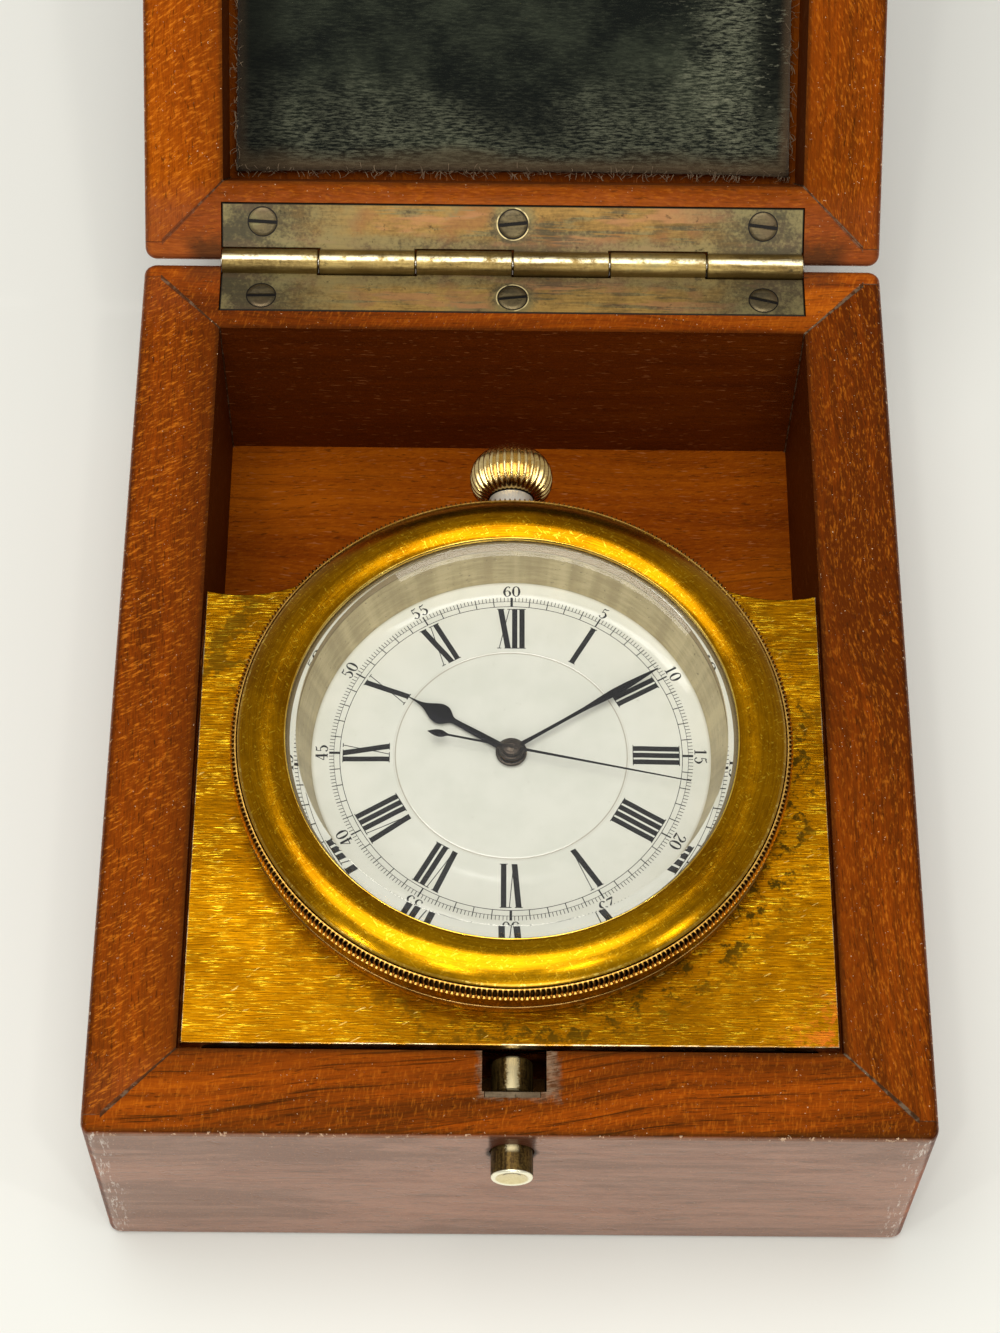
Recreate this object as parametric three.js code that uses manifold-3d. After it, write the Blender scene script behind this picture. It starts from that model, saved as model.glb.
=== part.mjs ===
// Deck watch in a hinged wooden box, with the lid open. Millimetres, +Z up, +Y to the back.
// The origin is the centre of the box's underside, and the hinge runs along X at the back.
import * as THREE from 'three';
import { mergeVertices } from 'three/addons/utils/BufferGeometryUtils.js';
import Module from 'manifold-3d';

// Watch case. Its bowl sets the radii of the bezel, glass, dial, plate and box round it.
const bowlRadius = 34;
const bowlWall = 1.9;
const bowlDepth = 20.3;
const flangeOverhang = 2.9;
const flangeHeight = 1.6;
const backDepth = 3.6;
const backRimHeight = 1.6;
const backRimWall = 1.4;
const backEdgeRadius = 2.4;

// Milled bezel and bevelled glass
const bezelInset = 0.1;
const bezelMillingWidth = 1.2;
const bezelCrownWidth = 5.74;
const bezelHeight = 4.8;
const bezelGap = 0.2;
const bezelToothCount = 112;
const bezelToothDepth = 0.35;
const bezelMilledHeight = 2.6;
const bezelGrooveDepth = 0.35;
const bezelCrownHeight = 1.85;
const bezelLipThickness = 0.9;
const bezelCrownSteps = 5;
const bezelSwellPower = 0.85;
const glassSeatWidth = 1.04;
const glassFlangeThickness = 0.9;
const glassRise = 1.05;
const glassBevelWidth = 1.76;
const glassGap = 0.25;
const threadClearance = 0.3;

// Sight ring and dial
const sightRingWidth = 7.3;
const sightRingLean = 1.9;
const dialUnderRing = 1.7;
const dialThickness = 0.9;
const dialDome = 0.25;
const dialHoleGap = 0.3;
const dialDomeSteps = 3;

// Motion work under the dial
const motionCentreDistance = 6;
const motionPocketShare = 2.1;
const motionHeadroom = 0.86;
const cannonTeeth = 12;
const minuteWheelTeeth = 36;
const minutePinionTeeth = 10;
const hourWheelTeeth = 40;
const wheelThickness = 0.55;
const pinionHeight = 1.05;
const wheelGap = 0.12;
const secondsArborRadius = 0.34;
const secondsArborDepth = 5;
const cannonBoreGap = 0.11;
const cannonTubeWall = 0.45;
const hourPipeGap = 0.12;
const hourPipeWall = 0.58;
const minutePostRadius = 0.5;
const toothRootWidthShare = 0.58;
const toothTipWidthShare = 0.2;
const toothAddendumShare = 0.72;
const toothRootShare = 1.12;

// Hands, turned clockwise from the XII, with their reach as shares of the sight ring's radius
const handThickness = 0.2;
const hourHandAngle = -59.2;
const minuteHandAngle = 57.5;
const secondsHandAngle = 101.5;
const tailAngle = 180;
const hourHandShare = 0.601;
const minuteHandShare = 0.88;
const secondsHandShare = 0.91;
const secondsTailShare = 0.429;
const hourHubWall = 0.45;
const minuteHubWall = 0.65;
const secondsHubRadius = 1.3;
const hubHeight = 0.5;
const handGap = 0.25;
const hubFit = 0.03;
const hourPearWidth = 3.1;
const minutePearWidth = 1.15;
const secondsLeafWidth = 1.15;

// Pendant, winding stem and crown
const stemRadius = 1.45;
const stemClearance = 0.25;
const stemInsideCase = 9;
const pendantWall = 1.2;
const pendantRootSwell = 0.8;
const pendantRootLength = 2.2;
const pendantLength = 10.8;
const pendantUnderPlate = 1.6;
const crownRadius = 5.95;
const crownLength = 7.8;
const crownGap = 0.35;
const crownCapThickness = 2.8;
const crownFluteCount = 34;
const crownFluteDepthShare = 0.055;

// Plate that carries the watch
const plateThickness = 1.5;
const plateBelowRim = 0.7;
const plateSideGap = 0.4;
const plateFrontGap = 0.7;
const plateCollarWidth = 4.5;
const plateSideWidth = 3.5;
const plateFrontWidth = 3.1;
const plateShoulderRadius = 19.5;
const plateShoulderRun = 4.8;
const ledgeWidth = 3;
const ledgeHeight = 6;
const ledgeBackGap = 2;

// Box and lid, with room for a finger behind the crown
const wallThickness = 11.5;
const floorThickness = 7;
const caseFloorGap = 6.4;
const crownFingerRoom = 16.65;
const lidPanelThickness = 4;
const lidHeadroom = 3.05;
const jointLip = 2.5;
const uprightEdgeRadius = 1.8;
const rimEdgeRadius = 0.8;
const lidTopEdgeRadius = 2.2;
const rimGap = 0.3;
const lidOpenAngle = 140;
const rimArcSteps = 3;
const cornerArcSteps = 5;

// Lining pad of the lid
const padThickness = 2;
const padCrown = 0.7;
const padInset = 1.1;
const padSideDraw = 0.6;
const padStepsAcross = 12;
const padStepsAlong = 14;
const padSwellPower = 4;
const padDrawPower = 5;

// Hinge
const hingeEndInset = 11.3;
const hingeOffset = 0.25;
const knuckleCount = 6;
const knuckleRadius = 1.95;
const knuckleGap = 0.2;
const hingePinRadius = 0.8;
const leafInset = 3.15;
const leafThickness = 1.2;
const stopReach = 4.1;
const stopGap = 0.15;
const hingeScrewEndInset = 6;
const hingeScrewEdge = 2.7;

// Countersunk wood screws
const screwHeadRadius = 2.05;
const screwHeadHeight = 0.95;
const screwShankRadius = 0.95;
const screwLength = 7;
const screwPointLength = 1.6;
const screwSlotWidth = 0.5;
const screwSlotDepth = 0.45;
const strikerScrewScale = 0.62;

// Catch: sprung push button in the front wall and keyhole striker on the lid
const buttonX = 0.3;
const buttonBelowRim = 5.5;
const buttonRadius = 2.7;
const buttonProtrusion = 2.7;
const buttonTravel = 1.6;
const buttonDish = 0.5;
const buttonNeckRadius = 1.7;
const buttonShoulderDepth = 1.2;
const knobEndGap = 0.05;
const knobDome = 0.8;
const knobDomeSteps = 3;
const notchSideGap = 0.5;
const notchOffset = 0.2;
const notchFloorClearance = 1.2;
const guideThickness = 0.8;
const guideCheek = 0.8;
const strikerThickness = 1.2;
const strikerCheek = 0.9;
const strikerEarWidth = 3.9;
const strikerFlangeDepth = 6;
const strikerBelowButton = 2.3;
const strikerScrewGap = 1.4;
const springWireRadius = 0.22;
const springShutLength = 2.4;
const springTurns = 4.5;
const springStepsPerTurn = 10;
const springWireSides = 6;

// General fits
const slipFit = 0.1;
const glueGap = 0.05;
const cutMargin = 1;
const roundSides = 56;
const smallSides = 20;
const tinySides = 12;
const weldTolerance = 1e-4;

// Radii that follow from the bowl
const flangeRadius = bowlRadius + flangeOverhang;
const bezelRadius = flangeRadius - bezelInset;
const bezelGrooveRadius = bezelRadius - bezelMillingWidth;
const bezelOpeningRadius = bezelGrooveRadius - bezelCrownWidth;
const glassFlangeRadius = bezelOpeningRadius + glassSeatWidth;
const glassTopRadius = bezelOpeningRadius - glassBevelWidth;
const sightInnerRadius = bowlRadius - sightRingWidth;
const sightTopRadius = sightInnerRadius + sightRingLean;
const dialRadius = sightInnerRadius + dialUnderRing;
const hourHandLength = hourHandShare * sightInnerRadius;
const minuteHandLength = minuteHandShare * sightInnerRadius;
const secondsHandLength = secondsHandShare * sightInnerRadius;
const secondsTailLength = secondsTailShare * sightInnerRadius;

// Radii of the nested pipes under the hands
const cannonBoreRadius = secondsArborRadius + cannonBoreGap;
const cannonTubeRadius = cannonBoreRadius + cannonTubeWall;
const hourPipeBoreRadius = cannonTubeRadius + hourPipeGap;
const hourPipeRadius = hourPipeBoreRadius + hourPipeWall;
const dialHoleRadius = hourPipeRadius + dialHoleGap;
const minuteHubRadius = cannonTubeRadius + minuteHubWall;
const hourHubRadius = hourPipeRadius + hourHubWall;
const motionPocketRadius = motionPocketShare * motionCentreDistance;
const motionPocketDepth = 2 * wheelGap + pinionHeight + wheelThickness + motionHeadroom;

// Plan of the plate and the box
const plateCollarRadius = bowlRadius + slipFit + plateCollarWidth;
const plateHalfWidth = plateCollarRadius + plateSideWidth;
const pendantReach = bowlRadius + pendantLength;
const insideHalfWidth = plateHalfWidth + plateSideGap;
const insideDepth = plateFrontGap + plateFrontWidth + plateCollarRadius + pendantReach + crownGap
  + crownLength + crownFingerRoom;
const insideHalfDepth = insideDepth / 2;
const halfWidth = insideHalfWidth + wallThickness;
const halfDepth = insideHalfDepth + wallThickness;
const watchY = -insideHalfDepth + plateFrontGap + plateFrontWidth + plateCollarRadius;
const plateShoulderX = plateHalfWidth - plateShoulderRun;
const plateShoulderY = watchY
  + Math.sqrt((plateCollarRadius + plateShoulderRadius) ** 2 - plateShoulderX ** 2);
const plateBackY = plateShoulderY - Math.sqrt(plateShoulderRadius ** 2 - plateShoulderRun ** 2);
const pendantEndY = watchY + pendantReach;
const pendantRadius = stemRadius + stemClearance + pendantWall;
const pendantRootRadius = pendantRadius + pendantRootSwell;

// Heights, from the underside of the box to the top of the lid
const bowlFoot = floorThickness + caseFloorGap + backDepth;
const plateTop = bowlFoot + bowlDepth;
const plateUnder = plateTop - plateThickness;
const baseHeight = plateTop + plateBelowRim;
const stemZ = plateUnder - pendantUnderPlate - pendantRootRadius;
const flangeTop = plateTop + flangeHeight;
const bezelFoot = flangeTop + bezelGap;
const bezelShoulder = bezelFoot + bezelHeight;
const glassSeatTop = bezelShoulder + bezelGap;
const glassSeatFoot = glassSeatTop - glassFlangeThickness - glueGap;
const neckTop = glassSeatFoot - glassGap;
const bezelLipTop = glassSeatTop + bezelLipThickness;
const bezelTop = (bezelShoulder + bezelToothDepth + bezelLipTop + bezelCrownHeight) / 2;
const lidRim = baseHeight + rimGap;
const lidPanelZ = bezelTop + lidHeadroom + padCrown + padThickness;
const lidTop = lidPanelZ + lidPanelThickness;

// Outlines, as shares of a piece's length and of its width
const hourHandShares = [
  [0.1, 0.2], [0.35, 0.16], [0.59, 0.13], [0.605, 0.42], [0.63, 0.74], [0.665, 0.95], [0.7, 1],
  [0.74, 0.9], [0.79, 0.62], [0.83, 0.36], [0.88, 0.17], [0.94, 0.09], [1, 0.02],
];
const minuteHandShares = [
  [0.05, 0.6], [0.15, 0.45], [0.35, 0.42], [0.5, 0.55], [0.62, 0.85], [0.69, 1], [0.78, 0.86],
  [0.88, 0.55], [0.95, 0.35], [1, 0.12],
];
const secondsHandShares = [[0.02, 0.4], [0.1, 0.3], [0.6, 0.24], [1, 0.12]];
const secondsTailShares = [
  [0.05, 0.4], [0.15, 0.3], [0.77, 0.28], [0.79, 0.62], [0.83, 0.92], [0.88, 1], [0.94, 0.62], [1, 0.06],
];
const crownShares = [
  [0, 0.7], [0.03, 0.86], [0.12, 0.96], [0.32, 1], [0.52, 0.99], [0.72, 0.89], [0.88, 0.68], [0.97, 0.36],
];

const materials = {
  wood: finish(0x8a4a22, 0.42, 0),
  darkWood: finish(0x5a2a14, 0.6, 0),
  velvet: finish(0x1d2a24, 0.95, 0),
  oldBrass: finish(0x8a8256, 0.5, 0.8),
  brass: finish(0xb58a2c, 0.32, 0.9),
  gold: finish(0xc79a35, 0.25, 0.95),
  steel: finish(0x8d8a84, 0.35, 0.9),
  blueSteel: finish(0x1b1c2c, 0.3, 0.8),
  silver: finish(0xb4ab8e, 0.4, 0.8),
  enamel: finish(0xe9e8de, 0.15, 0),
  glass: finish(0xf2f5f4, 0.04, 0),
};

const wasm = await Module();
wasm.setup();

function finish(color, roughness, metalness) {
  return new THREE.MeshStandardMaterial({ color, roughness, metalness });
}

function signedVolume(position, triangles) {
  const [a, b, c] = [new THREE.Vector3(), new THREE.Vector3(), new THREE.Vector3()];
  let sum = 0;
  for (let i = 0; i < triangles.length; i += 3) {
    a.fromBufferAttribute(position, triangles[i]);
    b.fromBufferAttribute(position, triangles[i + 1]);
    c.fromBufferAttribute(position, triangles[i + 2]);
    sum += a.dot(b.cross(c));
  }
  return sum;
}

// Welds a closed geometry, drops the slivers at its poles and gives it as a solid facing out.
function solid(geometry) {
  geometry.deleteAttribute('normal');
  geometry.deleteAttribute('uv');
  const welded = mergeVertices(geometry, weldTolerance);
  const corners = welded.index.array;
  const triangles = [];
  for (let i = 0; i < corners.length; i += 3) {
    const [a, b, c] = corners.subarray(i, i + 3);
    if (a !== b && b !== c && c !== a) triangles.push(a, b, c);
  }
  if (signedVolume(welded.attributes.position, triangles) < 0) triangles.reverse();
  const vertProperties = new Float32Array(welded.attributes.position.array);
  return new wasm.Manifold(new wasm.Mesh({
    numProp: 3,
    vertProperties,
    triVerts: new Uint32Array(triangles),
  }));
}

function surfaceOf(shape) {
  const { vertProperties, triVerts } = shape.getMesh();
  const geometry = new THREE.BufferGeometry();
  geometry.setAttribute('position', new THREE.BufferAttribute(vertProperties, 3));
  geometry.setIndex(new THREE.BufferAttribute(triVerts, 1));
  geometry.computeVertexNormals();
  return geometry;
}

function addPiece(group, name, shape, material, origin = new THREE.Vector3()) {
  const geometry = surfaceOf(shape);
  geometry.translate(-origin.x, -origin.y, -origin.z);
  const mesh = new THREE.Mesh(geometry, material);
  mesh.name = name;
  group.add(mesh);
}

function block(x0, x1, y0, y1, z0, z1) {
  const geometry = new THREE.BoxGeometry(x1 - x0, y1 - y0, z1 - z0);
  geometry.translate((x0 + x1) / 2, (y0 + y1) / 2, (z0 + z1) / 2);
  return solid(geometry);
}

function prism(shape, z0, z1, curveSegments = smallSides) {
  const geometry = new THREE.ExtrudeGeometry(shape, {
    depth: z1 - z0,
    bevelEnabled: false,
    curveSegments,
  });
  geometry.translate(0, 0, z0);
  return solid(geometry);
}

// A revolved profile of [radius, height] points, about Z, Y or X.
function turned(profile, sides, axis = 'z', place = [0, 0, 0]) {
  const geometry = new THREE.LatheGeometry(profile.map(([r, h]) => new THREE.Vector2(r, h)), sides);
  if (axis === 'z') geometry.rotateX(Math.PI / 2);
  if (axis === 'x') geometry.rotateZ(-Math.PI / 2);
  geometry.translate(...place);
  return solid(geometry);
}

function rod(radius, from, to, sides, axis = 'z', place = [0, 0, 0]) {
  return turned([[0, from], [radius, from], [radius, to], [0, to]], sides, axis, place);
}

function tube(radius, bore, from, to, sides, axis = 'z', place = [0, 0, 0]) {
  const profile = [[bore, from], [radius, from], [radius, to], [bore, to], [bore, from]];
  return turned(profile, sides, axis, place);
}

function polygon(points) {
  return new THREE.Shape(points.map(([x, y]) => new THREE.Vector2(x, y)));
}

// Box joinery. The four walls meet in mitres that stop at a lip on the front and back walls.
function roundedBlock(z0, z1, edgeRadius) {
  const r = uprightEdgeRadius;
  const [x, y] = [halfWidth, halfDepth];
  const shape = new THREE.Shape();
  shape.moveTo(-x + r, -y);
  shape.absarc(x - r, -y + r, r, -Math.PI / 2, 0);
  shape.absarc(x - r, y - r, r, 0, Math.PI / 2);
  shape.absarc(-x + r, y - r, r, Math.PI / 2, Math.PI);
  shape.absarc(-x + r, -y + r, r, -Math.PI, -Math.PI / 2);
  const size = Math.min(edgeRadius, r - glueGap);
  const geometry = new THREE.ExtrudeGeometry(shape, {
    depth: z1 - z0 - 2 * size,
    bevelThickness: size,
    bevelSize: size,
    bevelOffset: -size,
    bevelSegments: rimArcSteps,
    curveSegments: cornerArcSteps,
  });
  geometry.translate(0, 0, z0 + size);
  return solid(geometry);
}

// Plan of a front or back wall: side -1 is the front one, 1 the back one.
function longWallPlan(side) {
  const lipX = halfWidth - jointLip;
  const lipY = halfDepth - jointLip;
  const [outX, outY] = [halfWidth + cutMargin, halfDepth + cutMargin];
  const [inX, inY] = [insideHalfWidth - cutMargin, insideHalfDepth - cutMargin];
  const points = [[-outX, outY], [-outX, lipY], [-lipX, lipY], [-inX, inY],
    [inX, inY], [lipX, lipY], [outX, lipY], [outX, outY]];
  return polygon(points.map(([x, y]) => [x, side * y]));
}

function sideWallPlan(side, gap) {
  const lipX = halfWidth - jointLip;
  const lipY = halfDepth - jointLip - gap;
  const outX = halfWidth + cutMargin;
  const [inX, inY] = [insideHalfWidth - cutMargin, insideHalfDepth - cutMargin - gap];
  const points = [[outX, lipY], [lipX, lipY], [inX, inY], [inX, -inY], [lipX, -lipY], [outX, -lipY]];
  return polygon(points.map(([x, y]) => [side * x, y]));
}

function walls(shell, z0, z1, gap) {
  const from = z0 - cutMargin;
  const to = z1 + cutMargin;
  const hollow = block(-insideHalfWidth, insideHalfWidth, -insideHalfDepth, insideHalfDepth, from, to);
  const ring = shell.subtract(hollow);
  return {
    front: ring.intersect(prism(longWallPlan(-1), from, to)),
    back: ring.intersect(prism(longWallPlan(1), from, to)),
    left: ring.intersect(prism(sideWallPlan(-1, gap), from, to)),
    right: ring.intersect(prism(sideWallPlan(1, gap), from, to)),
  };
}

// Hinge. Heights here are measured from the pin's axis; side -1 is the base, 1 the lid.
const axisY = halfDepth + hingeOffset;
const axisZ = baseHeight + rimGap / 2;
const leafFace = rimGap / 2;
const leafFrontY = insideHalfDepth + leafInset;
const hingeLength = 2 * (halfWidth - hingeEndInset);
const knuckleLength = hingeLength / knuckleCount;

function between(side, near, far) {
  const ends = [axisZ + side * near, axisZ + side * far];
  return [Math.min(...ends), Math.max(...ends)];
}

function hingeLeaf(side) {
  const [low, high] = between(side, leafFace, leafFace + leafThickness);
  const plateEndY = axisY - knuckleRadius - knuckleGap;
  let leaf = block(-hingeLength / 2, hingeLength / 2, leafFrontY, plateEndY, low, high);
  for (let i = side < 0 ? 0 : 1; i < knuckleCount; i += 2) {
    const from = -hingeLength / 2 + i * knuckleLength + (i > 0 ? knuckleGap / 2 : 0);
    const to = -hingeLength / 2 + (i + 1) * knuckleLength - (i + 1 < knuckleCount ? knuckleGap / 2 : 0);
    leaf = leaf.add(block(from, to, plateEndY - cutMargin, axisY, low, high));
    leaf = leaf.add(rod(knuckleRadius, from, to, smallSides, 'x', [0, axisY, axisZ]));
    if (side > 0) leaf = leaf.add(stopTail(from, to));
  }
  const bore = rod(hingePinRadius + glueGap, -hingeLength, hingeLength, tinySides, 'x', [0, axisY, axisZ]);
  return leaf.subtract(bore);
}

// Tail behind a lid knuckle, which meets the back of the box when the lid is fully open.
function stopTail(from, to) {
  const rest = Math.PI + Math.asin((hingeOffset - stopGap) / stopReach);
  const turn = rest - THREE.MathUtils.degToRad(lidOpenAngle);
  const tip = [stopReach * Math.sin(turn), stopReach * Math.cos(turn)];
  const shape = polygon([[0, 0], [0, tip[1]], tip]);
  const geometry = new THREE.ExtrudeGeometry(shape, { depth: to - from, bevelEnabled: false });
  geometry.rotateX(Math.PI / 2);
  geometry.rotateZ(Math.PI / 2);
  geometry.translate(from, axisY, axisZ);
  return solid(geometry);
}

function barrelRelief() {
  const end = hingeLength / 2 + slipFit;
  return rod(knuckleRadius + knuckleGap, -end, end, smallSides, 'x', [0, axisY, axisZ]);
}

function leafRecess(side) {
  const [low, high] = between(side, -cutMargin, leafFace + leafThickness + (side > 0 ? glueGap : 0));
  const end = hingeLength / 2 + slipFit;
  return block(-end, end, leafFrontY - slipFit, axisY + cutMargin, low, high);
}

// Countersunk screw with its head face at the given height, pointing down (-1) or up (1).
function screwProfile(side, headZ, scale, fit) {
  const length = screwLength * scale + fit;
  const points = [
    [0, 0],
    [screwHeadRadius * scale + fit, 0],
    [screwShankRadius * scale + fit, screwHeadHeight * scale],
    [screwShankRadius * scale + fit, length - screwPointLength * scale],
    [0, length],
  ];
  return points.map(([r, z]) => [r, headZ + side * z]);
}

function screw(x, y, side, headZ, scale = 1) {
  const body = turned(screwProfile(side, headZ, scale, 0), smallSides, 'z', [x, y, 0]);
  const reach = screwHeadRadius * scale + cutMargin;
  const half = screwSlotWidth * scale / 2;
  const ends = [headZ - side * cutMargin, headZ + side * screwSlotDepth * scale];
  const slot = block(x - reach, x + reach, y - half, y + half, Math.min(...ends), Math.max(...ends));
  return body.subtract(slot);
}

function screwHole(x, y, side, headZ, scale = 1) {
  const hole = turned(screwProfile(side, headZ, scale, glueGap), smallSides, 'z', [x, y, 0]);
  const mouth = [headZ, headZ - side * cutMargin];
  const radius = screwHeadRadius * scale + glueGap;
  return hole.add(rod(radius, Math.min(...mouth), Math.max(...mouth), smallSides, 'z', [x, y, 0]));
}

const hingeScrewNames = ['left', 'middle', 'right'];
const hingeScrewY = leafFrontY + hingeScrewEdge;
const hingeScrewX = [-1, 0, 1].map((side) => side * (hingeLength / 2 - hingeScrewEndInset));

// Catch
const frontY = -halfDepth;
const buttonZ = baseHeight - buttonBelowRim;
const notchX = buttonX + notchOffset;
const notchFloorZ = buttonZ - buttonRadius - notchFloorClearance;
const shoulderY = frontY + buttonShoulderDepth;
const guideOuterY = shoulderY + buttonTravel + springShutLength;
const notchFrontY = guideOuterY + guideThickness;
const knobOuterY = notchFrontY + slipFit;
const knobInnerY = -insideHalfDepth - knobEndGap + slipFit;
const strikerWidth = 2 * (buttonRadius + strikerCheek);
const strikerFlangeWidth = strikerWidth + 2 * strikerEarWidth;
const notchWidth = strikerWidth + 2 * notchSideGap;
const guideWidth = 2 * (buttonRadius + guideCheek);
const strikerY = knobOuterY + slipFit;
const strikerHoleRadius = buttonRadius + slipFit;
const strikerSlotWidth = 2 * (buttonNeckRadius + slipFit);
const strikerFlangeY = [strikerY - strikerFlangeDepth / 2, strikerY + strikerFlangeDepth / 2];
const strikerScrewX = [-1, 1].map((side) => buttonX + side * (strikerWidth / 2 + strikerScrewGap));
const strikerScrewY = (strikerFlangeY[0] + strikerFlangeY[1]) / 2;

function catchCut() {
  const half = notchWidth / 2;
  const top = baseHeight + cutMargin;
  const inside = -insideHalfDepth + cutMargin;
  const notch = block(notchX - half, notchX + half, notchFrontY, inside, notchFloorZ, top);
  const guideHalf = guideWidth / 2 + slipFit;
  const mortise = block(buttonX - guideHalf, buttonX + guideHalf, guideOuterY, notchFrontY + cutMargin,
    notchFloorZ, top);
  const bore = rod(buttonRadius + 2 * slipFit, frontY - cutMargin, guideOuterY + slipFit, smallSides, 'y',
    [buttonX, 0, buttonZ]);
  return notch.add(mortise).add(bore);
}

function catchGuide() {
  const half = guideWidth / 2;
  const plate = block(buttonX - half, buttonX + half, guideOuterY, notchFrontY, notchFloorZ,
    baseHeight - slipFit);
  const hole = rod(buttonNeckRadius + slipFit, guideOuterY - cutMargin, notchFrontY + cutMargin,
    smallSides, 'y', [buttonX, 0, buttonZ]);
  return plate.subtract(hole);
}

function pushButton() {
  const outer = frontY - buttonProtrusion;
  const dome = knobInnerY - knobDome;
  const profile = [
    [0, outer + buttonDish],
    [buttonRadius - buttonDish, outer],
    [buttonRadius, outer + buttonDish],
    [buttonRadius, shoulderY],
    [buttonNeckRadius, shoulderY],
    [buttonNeckRadius, knobOuterY],
    [buttonRadius, knobOuterY],
  ];
  for (let i = 0; i < knobDomeSteps; i += 1) {
    const turn = Math.PI / 2 * i / knobDomeSteps;
    profile.push([buttonRadius * Math.cos(turn), dome + knobDome * Math.sin(turn)]);
  }
  profile.push([0, knobInnerY]);
  return turned(profile, smallSides, 'y', [buttonX, 0, buttonZ]);
}

class CoilCurve extends THREE.Curve {
  getPoint(t) {
    const radius = (buttonNeckRadius + buttonRadius) / 2;
    const turn = 2 * Math.PI * springTurns * t;
    const from = shoulderY + springWireRadius + slipFit;
    const to = guideOuterY - springWireRadius - slipFit;
    return new THREE.Vector3(
      buttonX + radius * Math.cos(turn),
      from + (to - from) * t,
      buttonZ + radius * Math.sin(turn),
    );
  }
}

function catchSpring() {
  const wire = new THREE.Shape();
  wire.absarc(0, 0, springWireRadius, 0, 2 * Math.PI);
  return solid(new THREE.ExtrudeGeometry(wire, {
    steps: Math.round(springTurns * springStepsPerTurn),
    curveSegments: springWireSides / 2,
    extrudePath: new CoilCurve(),
  }));
}

// Keyhole striker: a tongue under a flange, with a round hole that opens down into a slot.
function striker() {
  const [y0, y1] = strikerFlangeY;
  const flangeHalf = strikerFlangeWidth / 2;
  const top = lidRim + strikerThickness;
  const flange = block(buttonX - flangeHalf, buttonX + flangeHalf, y0, y1, lidRim, top);
  const half = strikerWidth / 2;
  const lowZ = buttonZ - strikerBelowButton;
  const tongue = block(buttonX - half, buttonX + half, strikerY, strikerY + strikerThickness, lowZ, top);
  const hole = rod(strikerHoleRadius, strikerY - cutMargin, strikerY + strikerThickness + cutMargin,
    smallSides, 'y', [buttonX, 0, buttonZ]);
  const slot = block(buttonX - strikerSlotWidth / 2, buttonX + strikerSlotWidth / 2,
    strikerY - cutMargin, strikerY + strikerThickness + cutMargin, lowZ - cutMargin, buttonZ);
  let piece = flange.add(tongue.subtract(hole).subtract(slot));
  for (const x of strikerScrewX) {
    piece = piece.subtract(screwHole(x, strikerScrewY, 1, lidRim, strikerScrewScale));
  }
  return piece;
}

function strikerRecess() {
  const [y0, y1] = strikerFlangeY;
  const half = strikerFlangeWidth / 2 + slipFit;
  return block(buttonX - half, buttonX + half, y0 - slipFit, y1 + slipFit, lidRim - cutMargin,
    lidRim + strikerThickness + glueGap);
}

// Base of the box
function buildBase(group) {
  const base = walls(roundedBlock(0, baseHeight, rimEdgeRadius), 0, baseHeight, 0);
  let back = base.back.subtract(leafRecess(-1)).subtract(barrelRelief());
  let leaf = hingeLeaf(-1);
  hingeScrewNames.forEach((name, i) => {
    const hole = screwHole(hingeScrewX[i], hingeScrewY, -1, baseHeight);
    back = back.subtract(hole);
    leaf = leaf.subtract(hole);
    const piece = screw(hingeScrewX[i], hingeScrewY, -1, baseHeight);
    addPiece(group, `base_hinge_screw_${name}`, piece, materials.oldBrass);
  });
  addPiece(group, 'base_front_wall', base.front.subtract(catchCut()), materials.wood);
  addPiece(group, 'base_back_wall', back, materials.wood);
  addPiece(group, 'base_left_wall', base.left, materials.wood);
  addPiece(group, 'base_right_wall', base.right, materials.wood);
  addPiece(group, 'base_bottom', block(-insideHalfWidth, insideHalfWidth, -insideHalfDepth,
    insideHalfDepth, 0, floorThickness), materials.darkWood);
  addPiece(group, 'base_hinge_leaf', leaf, materials.oldBrass);
  addPiece(group, 'hinge_pin', rod(hingePinRadius, -hingeLength / 2, hingeLength / 2, tinySides, 'x',
    [0, axisY, axisZ]), materials.steel);
  addPiece(group, 'catch_guide', catchGuide(), materials.oldBrass);
  addPiece(group, 'catch_spring', catchSpring(), materials.steel);
  addPiece(group, 'push_button', pushButton(), materials.brass);
}

// Lid, built closed on the base and hung from the hinge axis
function liningPad() {
  const width = 2 * (insideHalfWidth - padInset);
  const depth = 2 * (insideHalfDepth - padInset);
  const geometry = new THREE.BoxGeometry(width, depth, padThickness, padStepsAcross, padStepsAlong, 1);
  const position = geometry.attributes.position;
  for (let i = 0; i < position.count; i += 1) {
    const u = 2 * position.getX(i) / width;
    const v = 2 * position.getY(i) / depth;
    if (position.getZ(i) < 0) {
      const swell = (1 - u ** padSwellPower) * (1 - v ** padSwellPower);
      const drawX = padSideDraw * u ** padDrawPower * (1 - padSideDraw * v * v);
      const drawY = padSideDraw * v ** padDrawPower * (1 - padSideDraw * u * u);
      position.setXYZ(i, position.getX(i) - drawX, position.getY(i) - drawY,
        position.getZ(i) - padCrown * swell);
    }
  }
  geometry.translate(0, 0, lidPanelZ - padThickness / 2 - glueGap);
  return solid(geometry);
}

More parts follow.
